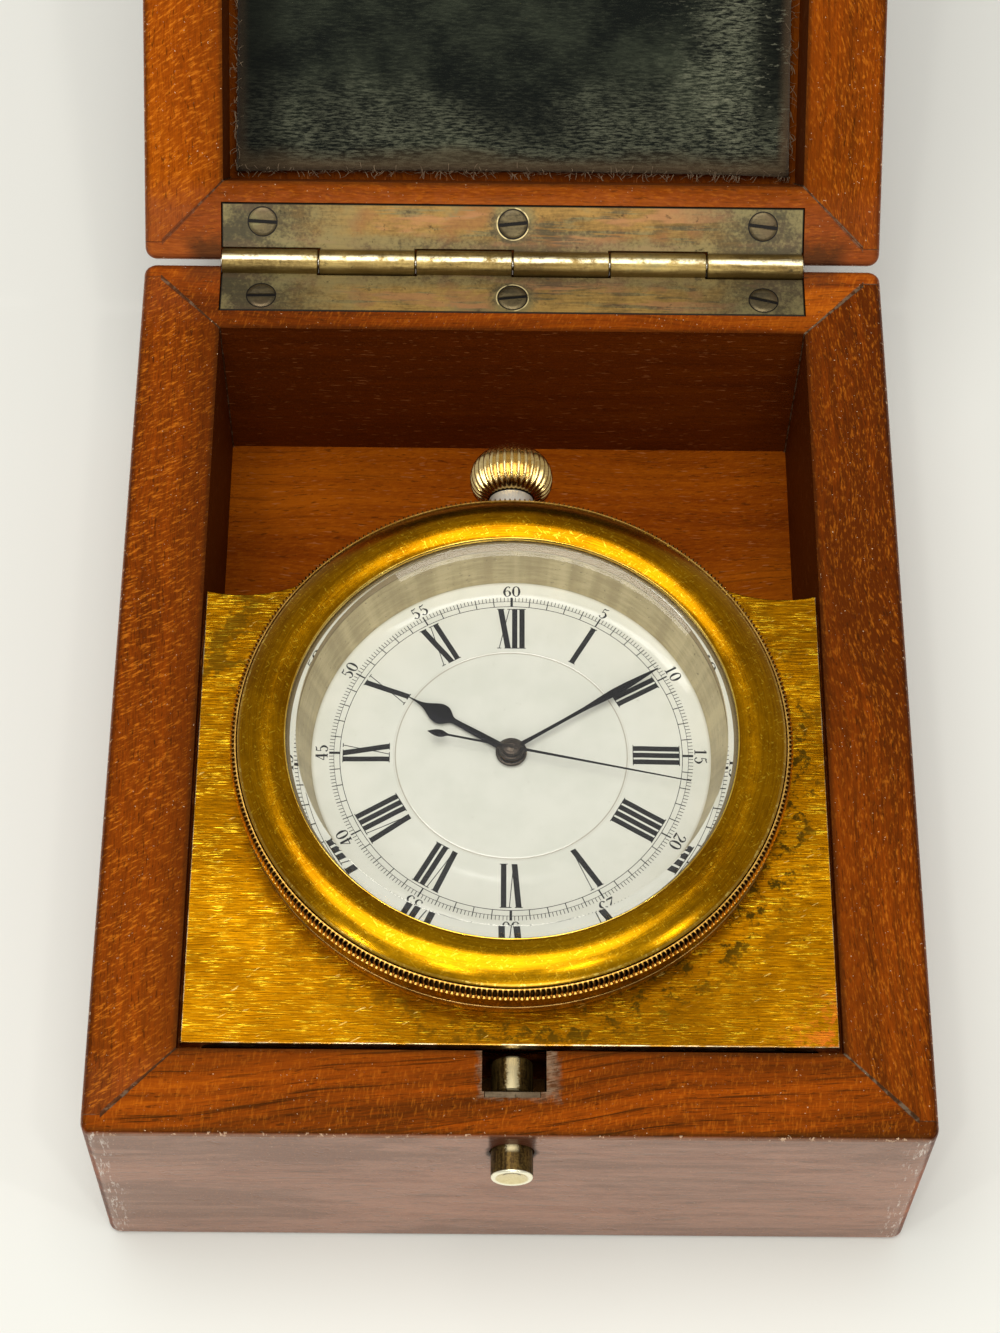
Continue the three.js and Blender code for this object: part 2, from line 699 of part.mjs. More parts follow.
function buildLid(group, origin) {
  const shell = roundedBlock(lidRim, lidTop + 2 * lidTopEdgeRadius, rimEdgeRadius)
    .intersect(roundedBlock(lidRim - 2 * lidTopEdgeRadius, lidTop, lidTopEdgeRadius));
  const [outX, outY] = [halfWidth + cutMargin, halfDepth + cutMargin];
  const slab = block(-outX, outX, -outY, outY, lidPanelZ, lidTop + cutMargin);
  const frame = shell.intersect(block(-outX, outX, -outY, outY, lidRim - cutMargin, lidPanelZ - glueGap));
  const lid = walls(frame, lidRim, lidTop, glueGap);
  let back = lid.back.subtract(leafRecess(1)).subtract(barrelRelief());
  let leaf = hingeLeaf(1);
  hingeScrewNames.forEach((name, i) => {
    const hole = screwHole(hingeScrewX[i], hingeScrewY, 1, lidRim);
    back = back.subtract(hole);
    leaf = leaf.subtract(hole);
    const piece = screw(hingeScrewX[i], hingeScrewY, 1, lidRim);
    addPiece(group, `lid_hinge_screw_${name}`, piece, materials.oldBrass, origin);
  });
  let front = lid.front.subtract(strikerRecess());
  strikerScrewX.forEach((x, i) => {
    front = front.subtract(screwHole(x, strikerScrewY, 1, lidRim, strikerScrewScale));
    const piece = screw(x, strikerScrewY, 1, lidRim, strikerScrewScale);
    addPiece(group, `striker_screw_${i === 0 ? 'left' : 'right'}`, piece, materials.oldBrass, origin);
  });
  addPiece(group, 'lid_front_wall', front, materials.wood, origin);
  addPiece(group, 'lid_back_wall', back, materials.wood, origin);
  addPiece(group, 'lid_left_wall', lid.left, materials.wood, origin);
  addPiece(group, 'lid_right_wall', lid.right, materials.wood, origin);
  addPiece(group, 'lid_top', shell.intersect(slab), materials.wood, origin);
  addPiece(group, 'lid_lining', liningPad(), materials.velvet, origin);
  addPiece(group, 'lid_hinge_leaf', leaf, materials.oldBrass, origin);
  addPiece(group, 'striker', striker(), materials.brass, origin);
}

// Plate and its ledges. Each hollow shoulder starts at the corner and runs out along the collar.
function mountingPlate() {
  const x = plateHalfWidth;
  const y = -insideHalfDepth + plateFrontGap;
  const r = plateShoulderRadius;
  const lean = Math.atan2(plateShoulderY - watchY, plateShoulderX);
  const start = Math.acos(plateShoulderRun / r);
  const shape = new THREE.Shape();
  shape.moveTo(-x, y);
  shape.lineTo(x, y);
  shape.lineTo(x, plateBackY);
  shape.absarc(plateShoulderX, plateShoulderY, r, -start, lean - Math.PI, true);
  shape.absarc(0, watchY, plateCollarRadius, lean, Math.PI - lean);
  shape.absarc(-plateShoulderX, plateShoulderY, r, -lean, start - Math.PI, true);
  const hole = new THREE.Path();
  hole.absarc(0, watchY, bowlRadius + slipFit, 0, 2 * Math.PI);
  shape.holes.push(hole);
  return prism(shape, plateUnder, plateTop);
}

function buildPlate(group) {
  addPiece(group, 'mounting_plate', mountingPlate(), materials.brass);
  const y0 = -insideHalfDepth;
  const y1 = plateBackY - ledgeBackGap;
  const z0 = plateUnder - ledgeHeight;
  const inner = insideHalfWidth - ledgeWidth;
  addPiece(group, 'ledge_left', block(-insideHalfWidth, -inner, y0, y1, z0, plateUnder),
    materials.darkWood);
  addPiece(group, 'ledge_right', block(inner, insideHalfWidth, y0, y1, z0, plateUnder),
    materials.darkWood);
}

// Watch case
const bowlInside = bowlRadius - bowlWall;
const atWatch = [0, watchY, 0];

function stemBore(from, to) {
  return rod(stemRadius + stemClearance, from, to, tinySides, 'y', [0, watchY, stemZ]);
}

function caseBowl() {
  const neckRadius = bowlRadius - slipFit;
  const profile = [
    [bowlInside, bowlFoot],
    [bowlRadius, bowlFoot],
    [bowlRadius, plateTop],
    [flangeRadius, plateTop],
    [flangeRadius, flangeTop],
    [neckRadius, flangeTop],
    [neckRadius, neckTop],
    [bowlInside, neckTop],
    [bowlInside, bowlFoot],
  ];
  return turned(profile, roundSides, 'z', atWatch)
    .subtract(stemBore(bowlInside - cutMargin, bowlRadius + cutMargin));
}

function caseBack() {
  const r = backEdgeRadius;
  const low = bowlFoot - backDepth;
  const outer = bowlInside - slipFit;
  const rimTop = bowlFoot + backRimHeight;
  const profile = [[0, low]];
  for (let i = 0; i <= rimArcSteps; i += 1) {
    const a = Math.PI / 2 * i / rimArcSteps;
    profile.push([bowlRadius - r + r * Math.sin(a), low + r - r * Math.cos(a)]);
  }
  profile.push([bowlRadius, bowlFoot], [outer, bowlFoot], [outer, rimTop]);
  profile.push([outer - backRimWall, rimTop], [outer - backRimWall, bowlFoot], [0, bowlFoot]);
  return turned(profile, roundSides, 'z', atWatch);
}

function pendant() {
  const root = bowlRadius - cutMargin;
  const end = pendantReach;
  const bore = stemRadius + stemClearance;
  const taper = bowlRadius + pendantRootLength;
  const profile = [
    [bore, root],
    [pendantRootRadius, root],
    [pendantRootRadius, taper - pendantRootLength / 2],
    [pendantRadius, taper],
    [pendantRadius, end - slipFit],
    [pendantRadius - slipFit, end],
    [bore, end],
    [bore, root],
  ];
  const bowl = rod(bowlRadius + glueGap, 0, baseHeight, roundSides, 'z', atWatch);
  return turned(profile, smallSides, 'y', [0, watchY, stemZ]).subtract(bowl);
}

function windingStem() {
  const from = bowlRadius - stemInsideCase;
  const to = pendantReach + crownGap + crownLength - crownCapThickness - slipFit;
  return rod(stemRadius, from, to, tinySides, 'y', [0, watchY, stemZ]);
}

// Onion crown: a revolved outline whose every second meridian is drawn in to make the flutes.
function windingCrown() {
  const front = pendantEndY + crownGap;
  const points = crownShares.map(([along, out]) => (
    new THREE.Vector2(crownRadius * out, crownLength * along)));
  const profile = [new THREE.Vector2(0, 0), ...points, new THREE.Vector2(0, crownLength)];
  const geometry = new THREE.LatheGeometry(profile, 2 * crownFluteCount);
  const position = geometry.attributes.position;
  const ringSize = profile.length;
  for (let i = 0; i < position.count; i += 1) {
    const meridian = Math.floor(i / ringSize);
    if (meridian % 2 === 1) {
      const keep = 1 - crownFluteDepthShare;
      position.setX(i, position.getX(i) * keep);
      position.setZ(i, position.getZ(i) * keep);
    }
  }
  geometry.translate(0, front, stemZ);
  const bore = rod(stemRadius + glueGap, front - cutMargin, front + crownLength - crownCapThickness,
    tinySides, 'y', [0, 0, stemZ]);
  return solid(geometry).subtract(bore);
}

// Bezel, with a milled band below a groove and a convex crown that rolls in to the glass. Below
// the milling its side is plain.
function bezelProfile() {
  const bore = bowlRadius + threadClearance;
  const seat = glassFlangeRadius + slipFit;
  const chamfer = bezelToothDepth;
  const profile = [
    [bore, bezelFoot],
    [bezelRadius - chamfer, bezelFoot],
    [bezelRadius - chamfer, bezelShoulder],
    [bezelGrooveRadius + bezelGrooveDepth, bezelShoulder + chamfer],
    [bezelGrooveRadius, bezelShoulder + chamfer - bezelGrooveDepth],
  ];
  const foot = bezelShoulder + chamfer;
  const span = bezelGrooveRadius - bezelGrooveDepth - bezelOpeningRadius;
  for (let i = 0; i <= bezelCrownSteps; i += 1) {
    const t = i / bezelCrownSteps;
    const swell = Math.sin(Math.PI * t) ** bezelSwellPower;
    const top = foot + (bezelLipTop - foot) * t;
    profile.push([bezelGrooveRadius - bezelGrooveDepth - span * t,
      top + (bezelCrownHeight / 2) * swell]);
  }
  profile.push([bezelOpeningRadius, glassSeatTop], [seat, glassSeatTop], [seat, glassSeatFoot]);
  profile.push([bore, glassSeatFoot], [bore, bezelFoot]);
  return profile;
}

function bezel() {
  const toothed = new THREE.Shape();
  const steps = 2 * bezelToothCount;
  for (let i = 0; i <= steps; i += 1) {
    const turn = 2 * Math.PI * i / steps;
    const r = i % 2 === 0 ? bezelRadius : bezelRadius - bezelToothDepth;
    if (i === 0) toothed.moveTo(r, 0);
    else if (i < steps) toothed.lineTo(r * Math.cos(turn), r * Math.sin(turn));
  }
  const opening = new THREE.Path();
  opening.absarc(0, 0, bowlRadius + threadClearance + cutMargin, 0, 2 * Math.PI);
  toothed.holes.push(opening);
  const bandTop = bezelShoulder - bezelToothDepth;
  const band = prism(toothed, bandTop - bezelMilledHeight, bandTop).translate([0, watchY, 0]);
  return turned(bezelProfile(), roundSides, 'z', atWatch).add(band);
}

function glass() {
  const foot = glassSeatFoot;
  const flangeTopZ = glassSeatTop - glueGap;
  const rim = bezelOpeningRadius - slipFit;
  const profile = [
    [0, foot],
    [glassFlangeRadius, foot],
    [glassFlangeRadius, flangeTopZ],
    [rim, flangeTopZ],
    [rim, flangeTopZ + slipFit],
    [glassTopRadius, flangeTopZ + glassRise],
    [0, flangeTopZ + glassRise],
  ];
  return turned(profile, roundSides, 'z', atWatch);
}

function sightRing() {
  const outer = bowlInside - slipFit;
  const profile = [
    [sightInnerRadius, plateTop],
    [outer, plateTop],
    [outer, neckTop],
    [sightTopRadius, neckTop],
    [sightInnerRadius, plateTop],
  ];
  return turned(profile, roundSides, 'z', atWatch);
}

function dial() {
  const under = plateTop - dialThickness;
  const profile = [[dialHoleRadius, under], [dialRadius, under], [dialRadius, plateTop],
    [sightInnerRadius, plateTop]];
  for (let i = 1; i <= dialDomeSteps; i += 1) {
    const r = sightInnerRadius + (dialHoleRadius - sightInnerRadius) * i / dialDomeSteps;
    profile.push([r, plateTop + dialDome * (1 - (r / sightInnerRadius) ** 2)]);
  }
  profile.push([dialHoleRadius, under]);
  return turned(profile, roundSides, 'z', atWatch);
}

// Movement, closed by the dial above and the case back below, with a pocket for the motion work
const dialUnder = plateTop - dialThickness;
const pocketFloor = dialUnder - motionPocketDepth;
const minuteWheelX = motionCentreDistance;

function movement() {
  const outer = bowlInside - slipFit;
  const low = bowlFoot + backRimHeight + slipFit;
  const profile = [
    [0, low],
    [outer, low],
    [outer, dialUnder],
    [motionPocketRadius, dialUnder],
    [motionPocketRadius, pocketFloor],
    [0, pocketFloor],
  ];
  const post = rod(minutePostRadius, pocketFloor - cutMargin, dialUnder - slipFit, tinySides, 'z',
    [minuteWheelX, watchY, 0]);
  const hole = rod(cannonBoreRadius, pocketFloor - secondsArborDepth, dialUnder, tinySides, 'z', atWatch);
  return turned(profile, roundSides, 'z', atWatch)
    .add(post)
    .subtract(hole)
    .subtract(stemBore(bowlRadius - stemInsideCase - crownGap, bowlRadius + cutMargin));
}

// A toothed wheel about Z, with a tooth or a gap on its +X side.
function gear(teeth, module, bore, z0, z1, gapFirst) {
  const pitch = 2 * Math.PI / teeth;
  const pitchRadius = teeth * module / 2;
  const tip = pitchRadius + toothAddendumShare * module;
  const root = pitchRadius - toothRootShare * module;
  const corners = [[root, -toothRootWidthShare], [tip, -toothTipWidthShare], [tip, toothTipWidthShare],
    [root, toothRootWidthShare]];
  const points = [];
  for (let i = 0; i < teeth; i += 1) {
    const middle = (i + (gapFirst ? 1 / 2 : 0)) * pitch;
    for (const [r, share] of corners) {
      const turn = middle + share * pitch / 2;
      points.push([r * Math.cos(turn), r * Math.sin(turn)]);
    }
  }
  const shape = polygon(points);
  const hole = new THREE.Path();
  hole.absarc(0, 0, bore, 0, 2 * Math.PI);
  shape.holes.push(hole);
  return prism(shape, z0, z1, tinySides / 2);
}

const cannonModule = 2 * motionCentreDistance / (cannonTeeth + minuteWheelTeeth);
const hourModule = 2 * motionCentreDistance / (minutePinionTeeth + hourWheelTeeth);
const wheelZ = pocketFloor + wheelGap;
const hourWheelZ = wheelZ + pinionHeight + wheelGap;

// Hands, stacked above the dome of the dial
const hourHandZ = plateTop + dialDome + handGap;
const minuteHandZ = hourHandZ + hubHeight + handGap;
const secondsHandZ = minuteHandZ + hubHeight + handGap;

// A flat blade along +Y from shares of its length and half of its width.
function blade(shares, length, width, z, turn) {
  const right = shares.map(([along, out]) => [out * width / 2, along * length]);
  const left = shares.map(([along, out]) => [-out * width / 2, along * length]).reverse();
  const geometry = new THREE.ExtrudeGeometry(polygon([...right, ...left]), {
    depth: handThickness,
    bevelEnabled: false,
  });
  geometry.rotateZ(-THREE.MathUtils.degToRad(turn));
  geometry.translate(0, watchY, z + (hubHeight - handThickness) / 2);
  return solid(geometry);
}

function hourHand() {
  const body = blade(hourHandShares, hourHandLength, hourPearWidth, hourHandZ, hourHandAngle);
  const top = hourHandZ + hubHeight;
  const bore = rod(hourPipeRadius + hubFit, hourHandZ - cutMargin, top + cutMargin, smallSides, 'z', atWatch);
  return body.add(rod(hourHubRadius, hourHandZ, top, smallSides, 'z', atWatch)).subtract(bore);
}

function minuteHand() {
  const body = blade(minuteHandShares, minuteHandLength, minutePearWidth, minuteHandZ, minuteHandAngle);
  const top = minuteHandZ + hubHeight;
  const low = minuteHandZ - cutMargin;
  const bore = rod(cannonTubeRadius + hubFit, low, top + cutMargin, smallSides, 'z', atWatch);
  return body.add(rod(minuteHubRadius, minuteHandZ, top, smallSides, 'z', atWatch)).subtract(bore);
}

function secondsHand() {
  const width = secondsLeafWidth;
  const tail = secondsHandAngle + tailAngle;
  const foot = pocketFloor - secondsArborDepth + slipFit;
  return blade(secondsHandShares, secondsHandLength, width, secondsHandZ, secondsHandAngle)
    .add(blade(secondsTailShares, secondsTailLength, width, secondsHandZ, tail))
    .add(rod(secondsHubRadius, secondsHandZ, secondsHandZ + hubHeight, smallSides, 'z', atWatch))
    .add(rod(secondsArborRadius, foot, secondsHandZ + hubHeight / 2, tinySides, 'z', atWatch));
}

function cannonPinion() {
  const teeth = gear(cannonTeeth, cannonModule, cannonBoreRadius, wheelZ, wheelZ + pinionHeight, false)
    .translate([0, watchY, 0]);
  return teeth.add(tube(cannonTubeRadius, cannonBoreRadius, pocketFloor + wheelGap / 2,
    minuteHandZ + hubHeight, tinySides, 'z', atWatch));
}

function minuteWheel() {
  const bore = minutePostRadius + hubFit;
  const wheelTop = wheelZ + wheelThickness;
  const pinionTop = hourWheelZ + wheelThickness + wheelGap;
  return gear(minuteWheelTeeth, cannonModule, bore, wheelZ, wheelTop, true)
    .add(gear(minutePinionTeeth, hourModule, bore, wheelTop - glueGap, pinionTop, false))
    .translate([minuteWheelX, watchY, 0]);
}

function hourWheel() {
  const top = hourWheelZ + wheelThickness;
  const pipeTop = hourHandZ + hubHeight;
  return gear(hourWheelTeeth, hourModule, hourPipeBoreRadius, hourWheelZ, top, true)
    .translate([0, watchY, 0])
    .add(tube(hourPipeRadius, hourPipeBoreRadius, hourWheelZ, pipeTop, tinySides, 'z', atWatch));
}

function buildWatch(group) {
  addPiece(group, 'case_bowl', caseBowl(), materials.brass);
  addPiece(group, 'case_back', caseBack(), materials.brass);
  addPiece(group, 'pendant', pendant(), materials.steel);
  addPiece(group, 'winding_stem', windingStem(), materials.steel);
  addPiece(group, 'crown', windingCrown(), materials.gold);
  addPiece(group, 'bezel', bezel(), materials.gold);
  addPiece(group, 'glass', glass(), materials.glass);
  addPiece(group, 'sight_ring', sightRing(), materials.silver);
  addPiece(group, 'dial', dial(), materials.enamel);
  addPiece(group, 'movement', movement(), materials.brass);
  addPiece(group, 'cannon_pinion', cannonPinion(), materials.steel);
  addPiece(group, 'minute_wheel', minuteWheel(), materials.brass);
  addPiece(group, 'hour_wheel', hourWheel(), materials.brass);
  addPiece(group, 'hour_hand', hourHand(), materials.blueSteel);
  addPiece(group, 'minute_hand', minuteHand(), materials.blueSteel);
  addPiece(group, 'seconds_hand', secondsHand(), materials.blueSteel);
}

const deckWatch = new THREE.Group();
const lidGroup = new THREE.Group();
const hingeAxis = new THREE.Vector3(0, axisY, axisZ);
lidGroup.position.copy(hingeAxis);
lidGroup.rotation.x = -THREE.MathUtils.degToRad(lidOpenAngle);
buildBase(deckWatch);
buildPlate(deckWatch);
buildWatch(deckWatch);
buildLid(lidGroup, hingeAxis);
deckWatch.add(lidGroup);

export default deckWatch;
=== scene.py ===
import bmesh, bpy, math
import numpy as np
from mathutils import Matrix, Vector


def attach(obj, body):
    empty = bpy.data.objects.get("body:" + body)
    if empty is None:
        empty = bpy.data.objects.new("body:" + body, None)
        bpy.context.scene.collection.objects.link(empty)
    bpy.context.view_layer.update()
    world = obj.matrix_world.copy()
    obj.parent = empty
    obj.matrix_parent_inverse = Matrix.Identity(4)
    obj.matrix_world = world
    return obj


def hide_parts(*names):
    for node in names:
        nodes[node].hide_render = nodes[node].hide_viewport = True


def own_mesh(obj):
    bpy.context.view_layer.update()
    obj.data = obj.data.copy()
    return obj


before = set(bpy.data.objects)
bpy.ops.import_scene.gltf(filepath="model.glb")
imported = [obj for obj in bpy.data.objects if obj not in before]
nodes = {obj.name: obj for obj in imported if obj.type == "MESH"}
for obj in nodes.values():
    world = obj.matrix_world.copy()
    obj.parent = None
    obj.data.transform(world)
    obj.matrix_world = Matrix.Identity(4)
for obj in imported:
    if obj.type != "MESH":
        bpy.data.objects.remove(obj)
scene = bpy.context.scene
scene.view_settings.view_transform = 'Standard'
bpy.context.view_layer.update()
print("frame loaded:", len(nodes), "nodes")

mm = 0.001
watch = {'x': 0.0, 'y': -13.6, 'plateTop': 37.3, 'flangeTop': 38.9, 'bezelFoot': 39.1, 'bezelShoulder': 43.9}
watchCentre = (watch['x'], watch['y'], 0)
box = {'halfWidth': 54.0, 'halfDepth': 67.5, 'insideX': 42.5, 'insideY': 56.0, 'rim': 38.0, 'lip': 2.5}
hinge = {'y': 67.75, 'z': 38.15, 'half': 42.7, 'knuckle': 1.95, 'count': 6, 'leafFront': 59.15, 'thick': 1.2,
         'face': 0.15, 'screwX': (-36.7, 0.0, 36.7), 'screwY': 61.85, 'open': 140.0, 'tail': 4.1}

# the lid's pieces are made shut, then swung back round the hinge's pin by this matrix, in millimetres
lidHang = (Matrix.Translation((0, hinge['y'], hinge['z']))
           @ Matrix.Rotation(math.radians(-hinge['open']), 4, 'X')
           @ Matrix.Translation((0, -hinge['y'], -hinge['z'])))

def added(name, data):
    made = bpy.data.objects.new(name, data)
    scene.collection.objects.link(made)
    return made


# Camera: at the photograph's height and distance, a little turned and rolled
camera = {'place': (-4.97, -203.45, 399.35), 'down': 60.61, 'turn': 0.96, 'roll': 1.38, 'lens': 82.3,
          'film': 36, 'near': 0.01, 'far': 20}

def setCamera():
    down, turn, roll = (math.radians(camera[key]) for key in ('down', 'turn', 'roll'))
    ahead = Vector((math.sin(turn) * math.cos(down), math.cos(turn) * math.cos(down), -math.sin(down)))
    right = Vector((math.cos(turn), -math.sin(turn), 0))
    up = right.cross(ahead)
    across = right * math.cos(roll) + up * math.sin(roll)
    over = up * math.cos(roll) - right * math.sin(roll)
    data = bpy.data.cameras.new("photoCamera")
    data.lens, data.sensor_width = camera['lens'], camera['film']
    data.clip_start, data.clip_end = camera['near'], camera['far']
    eye = added("photoCamera", data)
    turned = Matrix((across, over, -ahead)).transposed().to_4x4()
    eye.matrix_world = Matrix.Translation(Vector(camera['place']) * mm) @ turned
    scene.camera = eye

setCamera()


# Mesh helpers. A grid holds rows x columns of points in millimetres.
mend = {'doubles': 2e-7, 'slivers': 1e-8}  # in metres

def mended(data, slivers=True):
    # doubles are merged, slivers dissolved where asked, and the faces turned outwards
    bm = bmesh.new()
    bm.from_mesh(data)
    bmesh.ops.remove_doubles(bm, verts=bm.verts, dist=mend['doubles'])
    if slivers:
        bmesh.ops.dissolve_degenerate(bm, edges=bm.edges, dist=mend['slivers'])
    bmesh.ops.recalc_face_normals(bm, faces=bm.faces)
    bm.to_mesh(data)
    bm.free()

def meshPiece(name, points, faces, smooth=True, hang=None):
    data = bpy.data.meshes.new(name)
    data.from_pydata((np.asarray(points, float) * mm).tolist(), [], faces)
    mended(data)
    if hang is not None:
        shift = hang.copy()
        shift.translation = shift.translation * mm
        data.transform(shift)
    data.polygons.foreach_set("use_smooth", [smooth] * len(data.polygons))
    return added(name, data)

def gridFaces(rows, columns, closeRows=False, closeColumns=True, start=0):
    # quad (i, j) joins i, i + 1 and j, j + 1, each taken modulo its count where the grid closes
    i = np.arange(rows if closeRows else rows - 1)[:, None]
    j = np.arange(columns if closeColumns else columns - 1)[None, :]
    iNext, jNext = (i + 1) % rows, (j + 1) % columns
    corners = [i * columns + j, i * columns + jNext, iNext * columns + jNext, iNext * columns + j]
    return (np.stack(np.broadcast_arrays(*corners), -1).reshape(-1, 4) + start).tolist()

def softened(profile, radius, steps=3):
    # each corner of a closed profile becomes a quadratic arc, from radius before it to radius after it,
    # but from at most 0.45 of its shorter side
    profile = np.asarray(profile, float)
    before, after = np.roll(profile, 1, 0) - profile, np.roll(profile, -1, 0) - profile
    lengths = [np.linalg.norm(side, axis=1, keepdims=True) for side in (before, after)]
    reach = np.minimum(radius, np.minimum(*lengths) * 0.45)
    t = np.linspace(0, 1, steps + 1)[None, :, None]
    a, b = (profile + side / length * reach for side, length in zip((before, after), lengths))
    arc = a[:, None] * (1 - t) ** 2 + 2 * profile[:, None] * t * (1 - t) + b[:, None] * t ** 2
    return arc.reshape(-1, 2)

def turnedPiece(name, profile, centre=(0, 0, 0), axis='z', columns=192, closed=True, ripple=None,
                smooth=True):
    # point (r, h) of the profile at turn a: (r cos a, r sin a, h), and r is scaled by ripple(a, row)
    # where that is given, with row running from 0 to 1 along the profile
    profile = np.asarray(profile, float)
    a = np.arange(columns) * 2 * math.pi / columns
    r = np.repeat(profile[:, :1], columns, 1)
    if ripple is not None:
        r = r * ripple(a[None, :], np.arange(len(profile))[:, None] / (len(profile) - 1))
    h = np.repeat(profile[:, 1:], columns, 1)
    u, v = r * np.cos(a), r * np.sin(a)
    axes = {'z': (u, v, h), 'y': (v, h, u), 'x': (h, u, v)}[axis]
    points = np.stack(axes, -1).reshape(-1, 3) + np.array(centre)
    return meshPiece(name, points, gridFaces(len(profile), columns, closeRows=closed), smooth)

def prismRings(rings):
    # rings of equal length, each an (n, 3) loop; the first and last are capped
    rings = np.asarray(rings, float)
    count, size = rings.shape[:2]
    faces = gridFaces(count, size)
    faces.append(list(range(size)))
    faces.append(list(range((count - 1) * size, count * size)))
    return rings.reshape(-1, 3), faces

class Heap:
    # collects many small closed bodies into one mesh
    def __init__(self):
        self.points, self.faces, self.count = [], [], 0
    def add(self, points, faces):
        self.points.append(np.asarray(points, float))
        self.faces += [[corner + self.count for corner in face] for face in faces]
        self.count += len(points)
    def piece(self, name, smooth=False, hang=None):
        return meshPiece(name, np.concatenate(self.points), self.faces, smooth, hang)

def smoothEdges(piece, angle=35):
    # faces that meet at less than the angle are shaded smooth, and other edges stay sharp
    with bpy.context.temp_override(object=piece, active_object=piece, selected_objects=[piece],
                                   selected_editable_objects=[piece]):
        bpy.ops.object.shade_smooth_by_angle(angle=math.radians(angle))
    return piece

def dressed(piece, body, slot, material, *replaced):
    # the piece gets its material and the body it moves with, and the nodes that it stands for are hidden
    piece.data.materials.clear()
    piece.data.materials.append(material)
    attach(piece, body)
    if replaced:
        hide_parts(*replaced)
    return piece


# Materials. A Field wraps one socket, so that sums and products of fields add their Math nodes.
class Field:
    def __init__(self, finish, socket):
        self.finish, self.socket = finish, socket
    def __add__(self, other):
        return self.finish.maths('ADD', self, other)
    def __radd__(self, other):
        return self.finish.maths('ADD', other, self)
    def __sub__(self, other):
        return self.finish.maths('SUBTRACT', self, other)
    def __rsub__(self, other):
        return self.finish.maths('SUBTRACT', other, self)
    def __mul__(self, other):
        return self.finish.maths('MULTIPLY', self, other)
    def __rmul__(self, other):
        return self.finish.maths('MULTIPLY', other, self)
    def __truediv__(self, other):
        return self.finish.maths('DIVIDE', self, other)
    def __pow__(self, other):
        return self.finish.maths('POWER', self, other)
    def __abs__(self):
        return self.finish.maths('ABSOLUTE', self)

def tint(red, green, blue):
    # a screen colour of 0 to 255 in each channel, turned into the linear colour that a socket takes
    channels = [c / 255 for c in (red, green, blue)]
    return tuple(c / 12.92 if c < 0.04045 else ((c + 0.055) / 1.055) ** 2.4 for c in channels) + (1.0,)

